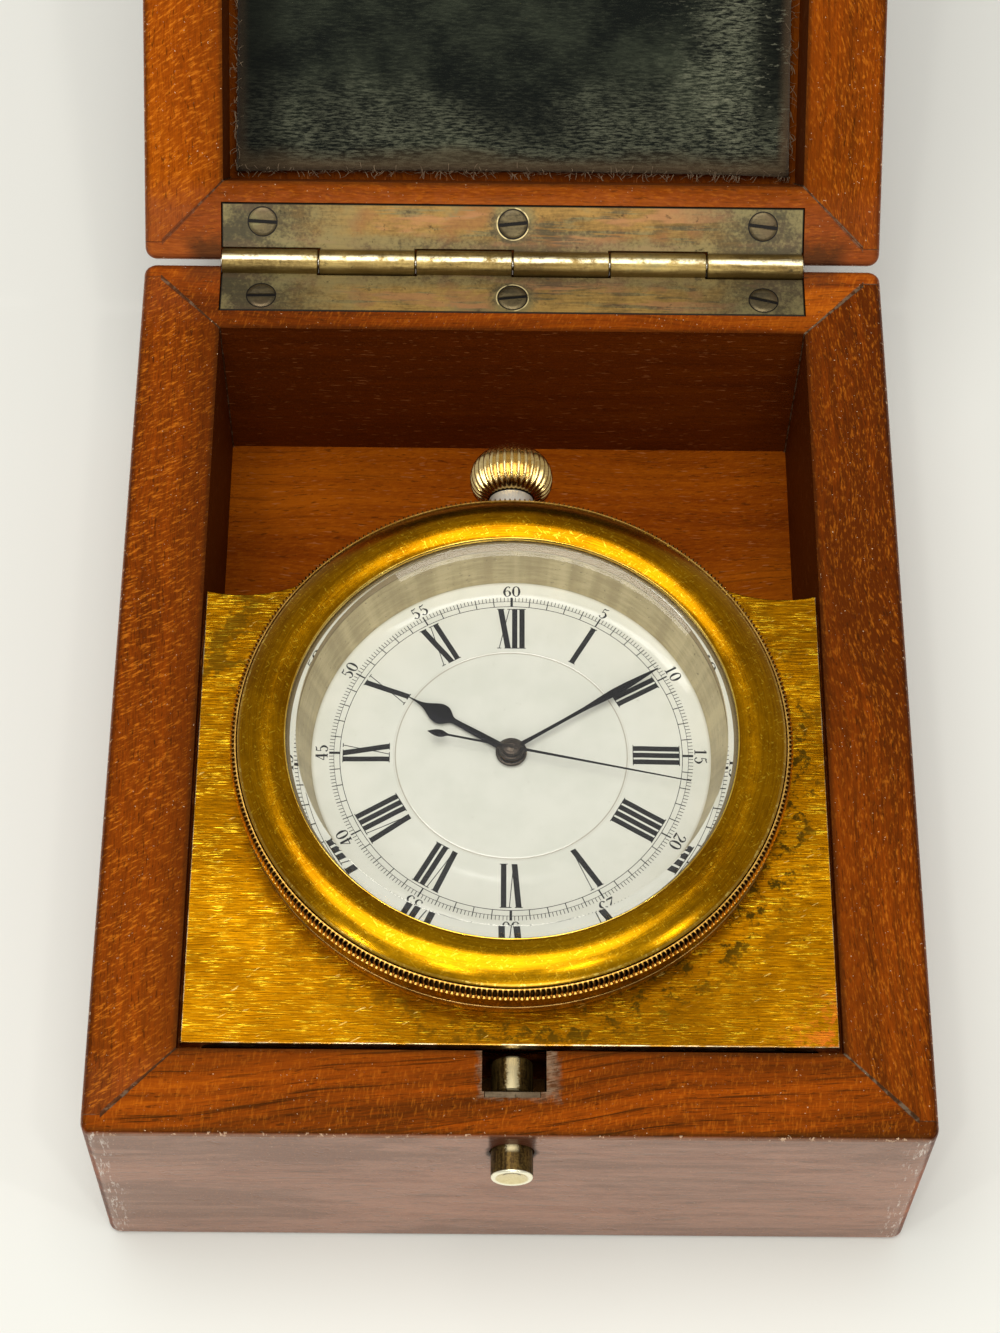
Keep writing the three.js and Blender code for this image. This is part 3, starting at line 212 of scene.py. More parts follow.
class Finish:
    def __init__(self, name, metallic=0.0, roughness=0.4, lid=False):
        self.material = bpy.data.materials.new(name)
        self.material.use_nodes = True
        self.tree = self.material.node_tree
        self.tree.nodes.clear()
        self.surface = self.tree.nodes.new('ShaderNodeBsdfPrincipled')
        self.out = self.tree.nodes.new('ShaderNodeOutputMaterial')
        self.tree.links.new(self.surface.outputs[0], self.out.inputs[0])
        self.set(Metallic=metallic, Roughness=roughness)
        object3 = self.node('TexCoord', out='Object')
        # place is in millimetres, and on the lid it is turned back to where the lid is shut
        if lid:
            turned = self.node('Mapping', {'vector_type': 'TEXTURE'}, {
                'Vector': object3, 'Location': (0, hinge['y'] * mm, hinge['z'] * mm),
                'Rotation': (math.radians(-hinge['open']), 0, 0), 'Scale': (mm, mm, mm)})
            self.place = self.vector('ADD', turned, (0, hinge['y'], hinge['z']))
        else:
            self.place = self.node('VectorMath', {'operation': 'SCALE'}, {0: object3, 'Scale': 1000.0})
        self.x, self.y, self.z = self.parts(self.place)
    def node(self, kind, settings=None, values=None, out=0):
        made = self.tree.nodes.new('ShaderNode' + kind)
        for key, value in (settings or {}).items():
            if key == 'stops':
                while len(made.color_ramp.elements) < len(value):
                    made.color_ramp.elements.new(0.5)
                for element, (position, colour) in zip(made.color_ramp.elements, value):
                    element.position, element.color = position, colour
            else:
                setattr(made, key, value)
        for key, value in (values or {}).items():
            if isinstance(value, Field):
                self.tree.links.new(value.socket, made.inputs[key])
            else:
                made.inputs[key].default_value = value
        return Field(self, made.outputs[out])
    def maths(self, operation, *values):
        return self.node('Math', {'operation': operation}, dict(enumerate(values)))
    def vector(self, operation, *values):
        return self.node('VectorMath', {'operation': operation}, dict(enumerate(values)))
    def parts(self, vector):
        split = self.tree.nodes.new('ShaderNodeSeparateXYZ')
        self.tree.links.new(vector.socket, split.inputs[0])
        return [Field(self, output) for output in split.outputs]
    def joined(self, x, y, z):
        return self.node('CombineXYZ', None, {0: x, 1: y, 2: z})
    def step(self, x, low, high):
        # 0 below low, 1 above high, with a smooth rise between
        return self.node('MapRange', {'interpolation_type': 'SMOOTHSTEP'},
                         {'Value': x, 'From Min': low, 'From Max': high, 'To Min': 0.0, 'To Max': 1.0})
    def band(self, x, middle, half, soft):
        # 1 where |x - middle| < half, falling to 0 over soft
        return 1 - self.step(abs(x - middle), half, half + soft)
    def mix(self, share, a, b):
        # colour a where share is 0 and colour b where it is 1
        return self.node('Mix', {'data_type': 'RGBA', 'clamp_factor': True}, {0: share, 6: a, 7: b}, out=2)
    def least(self, a, b):
        return self.maths('MINIMUM', a, b)
    def most(self, a, b):
        return self.maths('MAXIMUM', a, b)
    def noise(self, at, scale=1.0, detail=2.0, rough=0.5):
        return self.node('TexNoise', None, {'Vector': at, 'Scale': scale, 'Detail': detail,
                                            'Roughness': rough})
    def grain(self, x, y, z, detail=2.0, rough=0.5):
        # noise that is stretched by giving each coordinate its own scale
        return self.noise(self.joined(x, y, z), 1.0, detail, rough)
    def length(self, dx, dy):
        return (dx * dx + dy * dy) ** 0.5
    def polar(self, cx, cy):
        # distance from the point (cx, cy) and the turn round it
        dx, dy = self.x - cx, self.y - cy
        return self.length(dx, dy), self.maths('ARCTAN2', dx, dy)
    def bump(self, height, strength=0.3, distance=0.0001):
        normal = self.node('Bump', None, {'Height': height, 'Strength': strength, 'Distance': distance})
        return self.set(Normal=normal)
    def set(self, **values):
        names = {'Base': 'Base Color', 'Specular': 'Specular IOR Level', 'SpecularTint': 'Specular Tint',
                 'Coat': 'Coat Weight', 'CoatRoughness': 'Coat Roughness', 'Sheen': 'Sheen Weight',
                 'SheenRoughness': 'Sheen Roughness', 'Clear': 'Transmission Weight'}
        for key, value in values.items():
            socket = self.surface.inputs[names.get(key, key)]
            if isinstance(value, Field):
                self.tree.links.new(value.socket, socket)
            else:
                socket.default_value = value
        return self


# Mahogany: one finish for each board, so that the grain runs along it and its joints show
wood = {
    'pale': tint(188, 96, 8), 'middle': tint(140, 60, 3), 'deep': tint(80, 30, 2), 'pore': tint(34, 12, 3),
    'fleck': tint(222, 128, 30), 'inside': tint(58, 20, 4), 'dry': tint(170, 110, 66),
    'glint': tint(246, 214, 176), 'sheen': (1.0, 0.42, 0.08, 1.0), 'seam': tint(46, 34, 24),
    'filler': tint(98, 86, 70), 'paleReflection': tint(178, 140, 116), 'floorReflection': tint(126, 88, 66),
    'dull': tint(74, 28, 14), 'pinkish': tint(158, 84, 50), 'stain': tint(38, 28, 22),
    'bare': tint(70, 50, 36), 'worn': tint(128, 110, 90), 'black': tint(14, 9, 5),
    'scuff': tint(244, 234, 222), 'above': tint(24, 14, 8), 'ring': tint(58, 24, 10)}
notch = {'x': 0.5, 'y': -58.75, 'halfX': 4.1, 'halfY': 2.75, 'front': -61.7, 'holeX': 0.3, 'holeZ': 32.5,
         'holeRadius': 2.8}
rimTop = box['rim'] + 0.15  # halfway between the base's rim and the shut lid's

def mahogany(name, along='x', lid=False, seed=0.0, tone=0.5, stripes=1.0, lines=0.5, flecks=0.5,
             fleckTurn=0.0, slope=0.0, polishSheen=0.0, inner=0.0, gloom=0.0, front=False, stained=0.0):
    # a runs along the grain, b and c across it, and each board's seed shifts it to wood of its own
    f = Finish(name, roughness=0.36, lid=lid)
    a, b, c = (f.x, f.y, f.z) if along == 'x' else (f.y, f.x, f.z)
    a, b = a + seed * 37.0, b + a * slope + seed * 11.0
    drift = f.grain(a * 0.025, b * 0.06, c * 0.06, 1.0)
    b = b + (drift - 0.5) * 7.0
    broad = f.grain(a * 0.012, b * 0.085, c * 0.085, 2.0)
    growth = f.grain(a * 0.03, b * 0.6, c * 0.6, 3.0, 0.6)
    fibre = f.grain(a * 0.45, b * 4.6, c * 4.6, 2.0, 0.6)
    figure = (broad - 0.5) * 1.5 * stripes + (growth - 0.5) * 0.9 * stripes + (fibre - 0.5) * 0.55
    stops = [(0.1, wood['deep']), (0.5, wood['middle']), (0.9, wood['pale'])]
    colour = f.node('ValToRGB', {'stops': stops}, {0: figure + tone})
    # pale flecks lie at their own angle to the grain, dark pores and long grain lines lie along it
    cosine, sine = math.cos(fleckTurn), math.sin(fleckTurn)
    u, v = a * cosine + b * sine, b * cosine - a * sine
    stroke = f.grain(u * 0.85, v * 3.3, c * 3.3, 3.0, 0.6)
    colour = f.mix(f.step(stroke, 0.5, 0.72) * flecks, colour, wood['fleck'])
    colour = f.mix((1 - f.step(stroke, 0.3, 0.5)) * flecks * 0.5, colour, wood['deep'])
    pores = f.step(f.grain(a * 0.55, b * 3.1, c * 3.1, 2.0, 0.5), 0.62, 0.71)
    grainLines = f.step(f.grain(a * 0.055, b * 1.7, c * 1.7, 3.0, 0.65), 0.56, 0.66)
    grainLines = grainLines * f.step(broad, 0.4, 0.56)
    darkMarks = f.most(pores * 0.75, grainLines * lines)
    colour = f.mix(darkMarks * 0.8, colour, wood['pore'])
    ax, ay = abs(f.x), abs(f.y)
    outer = f.least(box['halfWidth'] - ax, box['halfDepth'] - ay)
    inward = f.most(ax - box['insideX'], ay - box['insideY'])
    ragged = f.noise(f.place, 0.9, 3.0, 0.6)
    # the rim is darker towards the inside, and all inside the well is painted darker with it, a painted shade
    colour = f.mix((1 - f.step(inward + ragged * 3.0, 1.0, 7.5)) * (0.45 + gloom), colour, wood['deep'])
    nearRim = 1 - f.step(abs(f.z - rimTop), 0.25, 1.6)
    # grime lies along both edges of the rim, and the rim's outer edge and the upright corners carry worn
    # nicks, painted pale as bright glints
    grime = (1 - f.step(f.least(abs(outer - 0.4), abs(inward - 0.1)), 0.0, 0.3 + ragged * 0.9)) * nearRim
    colour = f.mix(grime * 0.6, colour, wood['pore'])
    upright = 1 - f.step(abs(box['halfWidth'] - ax) + abs(box['halfDepth'] - ay), 0.5, 1.6)
    edges = f.most((1 - f.step(outer, 0.05, 0.5)) * nearRim, upright * polishSheen)
    glintNicks = f.step(f.noise(f.place, 1.3, 3.0, 0.65), 0.6, 0.66) * edges
    colour = f.mix(glintNicks * 0.85, colour, wood['glint'])
    # inside faces are painted darker, a painted shade in the well, and drier, with pale flecks
    within = 1 - f.step(inward, -0.02, 0.12)
    deepInside = within * f.step(abs(f.z - rimTop), 0.1, 0.7)
    colour = f.mix(deepInside * (0.6 + inner), colour, f.mix(fibre, wood['inside'], wood['deep']))
    dry = f.step(f.grain(a * 0.5, b * 3.4, c * 3.4, 1.0), 0.66, 0.74) * deepInside
    colour = f.mix(dry * 0.42, colour, wood['dry'])
    # the mitre runs at 45 degrees to the lip, then the lip's own fine line runs out to the side
    lipX, lipY = box['halfWidth'] - box['lip'], box['halfDepth'] - box['lip']
    beyond = f.step(ax, lipX - 0.02, lipX + 0.02)
    diagonal = abs((ax - box['insideX']) - (ay - box['insideY'])) * 0.7071
    line = diagonal * (1 - beyond) + abs(ay - lipY) * beyond
    width = 0.1 + (f.step(inward, 0.0, 9.0) * 0.22 + (ragged - 0.3) * 0.25) * (1 - beyond)
    joint = (1 - f.step(line, width * 0.6, width)) * f.step(inward, -0.4, 0.2)
    filled = f.step(f.noise(f.place, 1.1, 2.0) + f.step(f.x, -10.0, 20.0) * 0.1, 0.5, 0.68)
    colour = f.mix(joint * (0.9 - beyond * 0.35), colour, f.mix(filled, wood['seam'], wood['filler']))
    # small painted glints are scattered over all but the inside faces
    spark = f.step(f.noise(f.place, 2.6, 2.0, 0.6), 0.72, 0.75) * (1 - deepInside)
    colour = f.mix(spark * 0.6, colour, wood['glint'])
    # the outer faces carry a painted reflection of the pale floor in their polish, streaked along the board
    facing = f.step(0 - outer, -0.35, -0.05)
    haze = f.step(growth * 0.6 + broad * 0.4, 0.36, 0.62)
    floorReflection = f.mix(fibre, wood['floorReflection'], wood['paleReflection'])
    colour = f.mix(facing * (polishSheen + 0.1) * (0.7 + haze * 0.4), colour, floorReflection)
    dents = f.step(f.noise(f.place, 0.42, 2.0, 0.5), 0.68, 0.73)
    if stained:
        # at the ends of the box the polish of the rim is dull and pinkish, with dark stains in line with
        # the ends of the hinge's barrel
        dull = f.step(ay + (ragged - 0.5) * 5.0, 55.0, 61.0) * (1 - facing) * (0.5 + haze * 0.3)
        dulled = f.mix(fibre * 0.6 + ragged * 0.4, wood['dull'], wood['pinkish'])
        colour = f.mix(dull * stained, colour, dulled)
        besideBarrel = 1 - f.step(abs(ax - 44.5) + (broad - 0.5) * 9.0, 2.0, 5.5)
        barrelEnd = f.step(ay + (ragged - 0.5) * 4.0, 62.5, 66.0) * besideBarrel * nearRim
        colour = f.mix(barrelEnd * (0.45 + stained * 0.4), colour, wood['stain'])
    if front:
        # worn grey wood lies round the notch, a little further out on the right
        away = f.most(abs(f.x - notch['x'] - 0.5) - notch['halfX'], abs(f.y - notch['y']) - notch['halfY'])
        rubbed = 1 - f.step(away + (ragged - 0.5) * 3.4, 0.4, 1.5)
        rubbed = rubbed * f.step(f.z, box['rim'] - 0.5, box['rim'] - 0.1)
        greyed = f.mix(f.step(fibre * 0.5 + ragged * 0.5, 0.4, 0.6), wood['bare'], wood['worn'])
        colour = f.mix(rubbed * 0.8, colour, greyed)
        # inside the notch all is painted black, a painted shade in the recess
        notchShade = f.least(f.y - notch['front'], box['rim'] - 0.15 - f.z)
        notchShade = f.least(notch['halfX'] + 0.1 - abs(f.x - notch['x']), notchShade)
        colour = f.mix(f.step(notchShade, -0.05, 0.05), colour, wood['black'])
        # pale scuffs, worn scratches painted as bright glints, run down the two ends of the outer face
        ends = f.step(ax + (ragged - 0.5) * 3.0, 49.5, 53.0) * facing
        scuffs = ends * f.step(f.grain(f.x * 2.2, f.y, f.z * 0.42, 3.0, 0.7), 0.54, 0.66)
        colour = f.mix(scuffs * 0.6, colour, wood['scuff'])
        # a ragged ring of painted shadow lies round the button's hole, and above it a dark column, a painted
        # reflection of the button; the polish is taken off both
        hx, hz = f.x - notch['holeX'], f.z - notch['holeZ']
        ring = 1 - f.step(f.length(hx, hz) + (ragged - 0.5) * 0.9, notch['holeRadius'] + 0.2,
                          notch['holeRadius'] + 0.8)
        above = (1 - f.step(abs(hx), 2.7, 3.2)) * f.step(hz, 0.0, 0.6)
        shaded = f.most(ring, above * 0.92) * facing
        colour = f.mix(shaded * 0.95, colour, f.mix(above, wood['above'], wood['ring']))
        facing = facing * (1 - shaded)
    polish = facing * (0.75 + haze * 0.25)
    f.set(Base=colour, Roughness=0.34 + fibre * 0.16 + deepInside * 0.25 + joint * 0.3,
          Specular=0.22, SpecularTint=wood['sheen'], Coat=polish * (0.45 + polishSheen * 0.4), CoatRoughness=0.14)
    relief = fibre * 0.3 + stroke * 0.35 - darkMarks * 0.9 - joint * 1.6 - dents * 1.3 - glintNicks * 0.8
    f.bump(relief + growth * 0.4, 0.4, 0.00012)
    return f.material

boards = {
    'base_front_wall': dict(along='x', seed=1.0, tone=0.26, lines=1.0, flecks=0.22, fleckTurn=1.45,
                            slope=-0.13, polishSheen=0.5, front=True),
    'base_back_wall': dict(along='x', seed=2.3, tone=0.42, flecks=0.3, fleckTurn=1.2, polishSheen=0.2,
                           inner=0.16, stained=0.15),
    'base_left_wall': dict(along='y', seed=3.1, tone=0.27, stripes=0.45, lines=0.2, flecks=0.5,
                           fleckTurn=1.0, polishSheen=0.2, inner=0.4, gloom=0.2, stained=0.3),
    'base_right_wall': dict(along='y', seed=4.7, tone=0.22, stripes=0.8, lines=0.5, flecks=0.34,
                            slope=0.06, polishSheen=0.2, inner=0.35),
    'base_bottom': dict(along='x', seed=5.2, tone=0.72, stripes=0.8, flecks=0.25, fleckTurn=0.2,
                        inner=-0.6),
    'ledge_left': dict(along='y', seed=6.4, tone=0.05),
    'ledge_right': dict(along='y', seed=7.9, tone=0.05),
    'lid_front_wall': dict(along='x', lid=True, seed=8.3, tone=0.45, flecks=0.4, polishSheen=0.2),
    'lid_back_wall': dict(along='x', lid=True, seed=9.6, tone=0.53, flecks=0.4, polishSheen=0.2, inner=0.2,
                          stained=0.8),
    'lid_left_wall': dict(along='y', lid=True, seed=10.2, tone=0.58, stripes=0.5, lines=0.2, flecks=0.6,
                          fleckTurn=2.2, polishSheen=0.2, inner=0.25, stained=0.8),
    'lid_right_wall': dict(along='y', lid=True, seed=11.8, tone=0.33, stripes=0.6, flecks=0.4,
                           fleckTurn=0.3, polishSheen=0.2, inner=0.25, stained=0.3),
    'lid_top': dict(along='y', lid=True, seed=12.5, tone=0.5, flecks=0.4, fleckTurn=0.6, polishSheen=0.12),
}

def bareNode(node, material):
    # a node that keeps its own shape and only gets a finish
    cad = nodes[node]
    cad.data.materials.clear()
    cad.data.materials.append(material)

for board, look in boards.items():
    bareNode(board, mahogany(board.replace('_', ' '), **look))
print("boards finished:", len(boards))


# Metals
plateForm = {'x': 42.1, 'front': -54.95, 'collar': 38.6, 'hole': 34.1, 'shoulder': 19.5, 'run': 4.8,
             'top': 37.3, 'thick': 1.5, 'chamfer': 0.16}
plateTints = {
    'deep': tint(94, 58, 2), 'middle': tint(150, 96, 2), 'pale': tint(216, 148, 7),
    'brushGlint': tint(255, 222, 50), 'gap': tint(110, 70, 2), 'bezelReflection': tint(84, 54, 2), 'front': tint(104, 62, 2),
    'tarnish': tint(78, 56, 8), 'corner': tint(196, 100, 30), 'scratch': tint(250, 220, 120),
    'rim': tint(214, 160, 64), 'rimPale': tint(255, 236, 190)}
milling = {'radius': 37.3, 'teeth': 340, 'depth': 0.66, 'foot': 42.05, 'top': 43.98}

def platedBrass():
    f = Finish('brushed plate brass', metallic=1.0)
    tints = plateTints
    r, turn = f.polar(watch['x'], watch['y'])
    brush = f.grain(f.x * 0.26, f.y * 5.6, f.z * 5.6, 3.0, 0.65)
    fine = f.grain(f.x * 0.9, f.y * 16.0, f.z * 16.0, 1.0)
    cloud = f.noise(f.place, 0.075, 4.0, 0.6)
    patch = f.noise(f.place, 0.3, 3.0, 0.6)
    stops = [(0.3, tints['deep']), (0.5, tints['middle']), (0.68, tints['pale'])]
    colour = f.node('ValToRGB', {'stops': stops}, {0: brush * 0.6 + cloud * 0.4})
    # short strokes of the brush, painted as bright glints, thick in some places and thin in others
    brushGlint = f.step(f.grain(f.x * 0.4, f.y * 5.4, f.z, 2.0, 0.7), 0.55, 0.66) * f.step(patch, 0.34, 0.6)
    colour = f.mix(brushGlint * 0.65, colour, tints['brushGlint'])
    gap = f.step(f.grain(f.x * 0.6 + 9.0, f.y * 5.0, f.z, 2.0, 0.7), 0.56, 0.7)
    colour = f.mix(gap * 0.4, colour, tints['gap'])
    # a darker sweep below the bezel, the bezel's painted reflection and shadow, with faint arcs of an old cut
    # in it
    below = f.step(0 - f.y, 38.0, 50.0) * (1 - f.step(abs(f.x - 6.0), 8.0, 40.0))
    arcs = f.grain(r * 2.6, turn * 0.6, 0.0, 2.0, 0.6)
    colour = f.mix(below * (0.45 + (arcs - 0.5) * 1.2), colour, tints['bezelReflection'])
    # towards its front edge the plate is painted darker, a painted shade
    colour = f.mix((1 - f.step(f.y, -52.0, -34.0)) * 0.3, colour, tints['front'])
    # brown tarnish gathers round the bezel, most of all on the right and in front
    side = f.step(f.x * 0.8 - f.y * 0.6, 4.0, 44.0)
    ring = 1 - f.step(abs(r - 38.5), 0.5, 6.5)
    blotch = f.step(f.noise(f.place, 0.4, 4.0, 0.75), 0.5, 0.62) * ring * (0.3 + side)
    leftUpper = (1 - f.step(f.x, -37.0, -31.0)) * f.step(f.y, -16.0, 0.0)
    blotch = f.most(blotch, f.step(f.noise(f.place, 0.26, 4.0, 0.7), 0.48, 0.6) * leftUpper * 0.85)
    speckled = f.step(side * 0.8 + ring * 0.5 + leftUpper * 0.4, 0.4, 0.9)
    specks = f.step(f.noise(f.place, 1.9, 3.0, 0.7), 0.63, 0.7) * speckled
    tarnish = f.most(blotch * 0.8, specks * 0.85)
    colour = f.mix(tarnish, colour, tints['tarnish'])
    # the front right corner is reddish, and thin scratches cross the whole plate
    corner = f.step(f.x - f.y * 0.8, 74.0, 86.0) * f.step(f.noise(f.place, 0.9, 4.0, 0.75), 0.45, 0.58)
    colour = f.mix(corner * 0.75, colour, tints['corner'])
    scratch = f.step(f.grain(f.x * 0.3 + f.y * 0.5, f.y * 2.6 - f.x * 1.4, f.z, 1.0), 0.74, 0.77)
    colour = f.mix(scratch * 0.3, colour, tints['scratch'])
    # the chamfered edges are rubbed pale and painted brighter as a highlight
    rim = f.most(abs(f.x) - plateForm['x'] + 0.2, plateForm['front'] + 0.2 - f.y)
    rubbed = f.step(rim, 0.0, 0.1)
    colour = f.mix(rubbed * 0.8, colour, f.mix(f.step(patch, 0.4, 0.6), tints['rim'], tints['rimPale']))
    f.set(Base=colour, Roughness=0.3 + tarnish * 0.25 + (brush - 0.5) * 0.3 - brushGlint * 0.08)
    f.bump(brush * 1.0 + fine * 0.4 + brushGlint * 0.6 - tarnish * 0.6, 0.3, 0.00008)
    return f.material

giltTints = {
    'spot': tint(96, 58, 14), 'bright': tint(255, 222, 120), 'front': tint(206, 166, 16),
    'groove': tint(70, 44, 8), 'foot': tint(104, 58, 16), 'stroke': tint(250, 206, 60),
    'gap': tint(40, 20, 4), 'recessShade': tint(34, 27, 14)}

def gilt(name, pale, deep, rough, rings=5.0, spotty=0.5, rubbed=False, toothed=False, fluted=False):
    # fine turned rings and rubbed arcs run round the middle of the watch
    tints = giltTints
    f = Finish(name, metallic=1.0)
    r, turn = f.polar(watch['x'], watch['y'])
    around = f.grain(r * rings, turn * 5.0, f.z * rings, 3.0, 0.6)
    cloud = f.noise(f.place, 0.12, 3.0, 0.6)
    rub = f.grain(r * 1.2, turn * 26.0, f.z * 1.2, 3.0, 0.7)
    colour = f.mix(f.step(around * 0.4 + cloud * 0.4 + rub * 0.2, 0.34, 0.66), deep, pale)
    spots = f.step(f.noise(f.place, 1.6, 3.0, 0.7), 0.68, 0.74)
    colour = f.mix(spots * spotty, colour, tints['spot'])
    if rubbed:
        # the outer edge is painted with a bright line, a painted highlight, and the groove behind it is
        # painted dark, a painted shade
        glintNicks = f.step(f.noise(f.place, 1.3, 3.0, 0.7), 0.55, 0.62)
        bright = f.band(r, 36.1, 0.05, 0.14) * (0.2 + glintNicks * 0.7)
        colour = f.mix(bright * 0.8, colour, tints['bright'])
        # the front of the bezel is painted brighter, a painted highlight
        front = 1 - f.step(f.y, -46.0, -34.0)
        colour = f.mix(front * 0.2, colour, tints['front'])
        colour = f.mix(f.step(r, 36.26, 36.32), colour, tints['groove'])
        colour = f.mix(1 - f.step(f.z, milling['foot'] - 0.1, milling['foot']), colour, tints['foot'])
        # short pale strokes lie in two directions
        falling = f.grain(f.x * 0.9 + f.y * 0.5, f.y * 3.4 - f.x * 1.9, f.z, 2.0, 0.7)
        rising = f.grain(f.x * 0.7 - f.y * 0.9, f.y * 2.2 + f.x * 2.8, f.z, 2.0, 0.7)
        strokes = f.most(falling, rising)
        colour = f.mix(f.step(strokes, 0.6, 0.74) * 0.5, colour, tints['stroke'])
    if toothed:
        # the gaps between the teeth are painted dark, a painted shade
        gap = 1 - f.step(r, milling['radius'] - 0.36, milling['radius'] - 0.12)
        gap = gap * (1 - f.step(f.z, milling['top'] - 0.3, milling['top'] - 0.12))
        gap = gap * f.step(f.z, milling['foot'] + 0.02, milling['foot'] + 0.1)
        colour = f.mix(gap, colour, tints['gap'])
    if fluted:
        # the face towards the watch, where the crown meets the neck, is painted dark, a painted shade
        colour = f.mix(1 - f.step(f.y, 31.57, 31.64), colour, tints['recessShade'])
    f.set(Base=colour, Roughness=rough + (rub - 0.5) * 0.16 + spots * 0.2)
    f.bump(around * 0.7 + rub * (0.9 if rubbed else 0.6), 0.16, 0.00005)
    return f.material

brassTints = {
    'rust': tint(168, 118, 78), 'patina': tint(58, 58, 44), 'patinaPale': tint(116, 110, 74),
    'gap': tint(30, 24, 14), 'burr': tint(240, 220, 160), 'socket': tint(14, 10, 6), 'dark': tint(52, 46, 30),
    'highlightStreak': tint(250, 238, 196), 'under': tint(84, 66, 26)}

def wornBrass(name, pale, deep, stain, rough=0.42, lid=False, leaf=False, barrel=False):
    tints = brassTints
    f = Finish(name, metallic=0.7, lid=lid)
    brushed = f.grain(f.x * 0.22, f.y * 2.4, f.z * 2.4, 3.0, 0.65)
    cloud = f.noise(f.place, 0.11, 4.0, 0.65)
    fine = f.noise(f.place, 2.2, 3.0, 0.65)
    colour = f.mix(f.step(brushed * 0.3 + cloud * 0.5 + fine * 0.2, 0.38, 0.64), deep, pale)
    patches = f.step(f.noise(f.place, 0.16, 3.0, 0.6), 0.5, 0.63)
    colour = f.mix(patches * 0.6, colour, stain)
    patina = f.step(cloud, 0.62, 0.75)
    if leaf:
        # patina thickens at the ends, along the knuckles and round the screws, which sit in dark rings of
        # painted shadow
        ends = f.step(abs(f.x) + (cloud - 0.5) * 30.0, 20.0, 36.0)
        screwShadows, burr = [], 0.0
        seam = f.step(f.y + (cloud - 0.5) * 6.0 + (brushed - 0.5) * 2.0, 63.0, 65.0)
        patina = f.most(f.most(ends, seam * 0.8), patina)
        for x in hinge['screwX']:
            r = f.length(f.x - x, f.y - hinge['screwY'])
            patina = f.most(patina, (1 - f.step(r + (fine - 0.5) * 1.5, 2.4, 4.4)) * 0.9)
            screwShadows.append(1 - f.step(r, 2.16, 2.26))
            if x == 0.0:
                # the middle screw's socket has a bright burr round part of it
                burr = f.band(r, 2.34, 0.03, 0.08) * f.step(f.noise(f.place, 0.5, 2.0, 0.5), 0.4, 0.56)
        smear = f.grain(f.x * 0.07, f.y * 0.9, f.z, 4.0, 0.7)
        patina = f.most(patina, f.step(smear, 0.5, 0.6) * 0.85)
        rusty = f.step(f.grain(f.x * 0.06 + 5.0, f.y * 0.3, f.z, 3.0, 0.6), 0.52, 0.6)
        colour = f.mix(rusty * 0.6, colour, tints['rust'])
    paler = f.step(cloud + (fine - 0.5) * 0.4, 0.4, 0.62)
    colour = f.mix(patina * 0.85, colour, f.mix(paler, tints['patina'], tints['patinaPale']))
    if leaf:
        # the leaf's ends and front edge are painted dark, a painted shade along its edges
        gap = f.most(abs(f.x) - hinge['half'] + 0.3, hinge['leafFront'] + 0.3 - f.y)
        colour = f.mix(f.step(gap, 0.0, 0.15), colour, tints['gap'])
        colour = f.mix(burr * 0.8, colour, tints['burr'])
        for socket in screwShadows:
            colour = f.mix(socket, colour, tints['socket'])
    dark = f.step(f.noise(f.place, 0.6, 4.0, 0.7), 0.6, 0.7)
    colour = f.mix(dark * 0.55, colour, tints['dark'])
    if barrel:
        # a painted highlight streak runs along the knuckles, and their under side and top edge are painted
        # dark, a painted shade
        across = ((f.z - hinge['z']) * 0.49 + (f.y - hinge['y']) * 0.87) / hinge['knuckle']
        across = across + (brushed - 0.5) * 0.3
        highlightStreak = f.band(across, 0.25, 0.08, 0.2) * f.step(f.noise(f.place, 0.35, 4.0, 0.75), 0.36, 0.6)
        colour = f.mix(highlightStreak, colour, tints['highlightStreak'])
        barrelShade = f.most(1 - f.step(across, -0.75, -0.3), f.step(across, 0.62, 0.9))
        colour = f.mix(barrelShade * 0.8, colour, tints['under'])
    f.set(Base=colour, Roughness=rough + (cloud - 0.5) * 0.2 + dark * 0.2)
    f.bump(brushed * 0.5 + fine * 0.5 - dark * 0.8, 0.25, 0.00006)
    return f.material

buttonTints = {
    'deep': tint(46, 32, 12), 'pale': tint(104, 82, 40), 'dish': tint(206, 188, 136),
    'dishPale': tint(246, 234, 192), 'recessShade': tint(58, 44, 18), 'rim': tint(255, 250, 222),
    'glint': tint(255, 240, 190)}

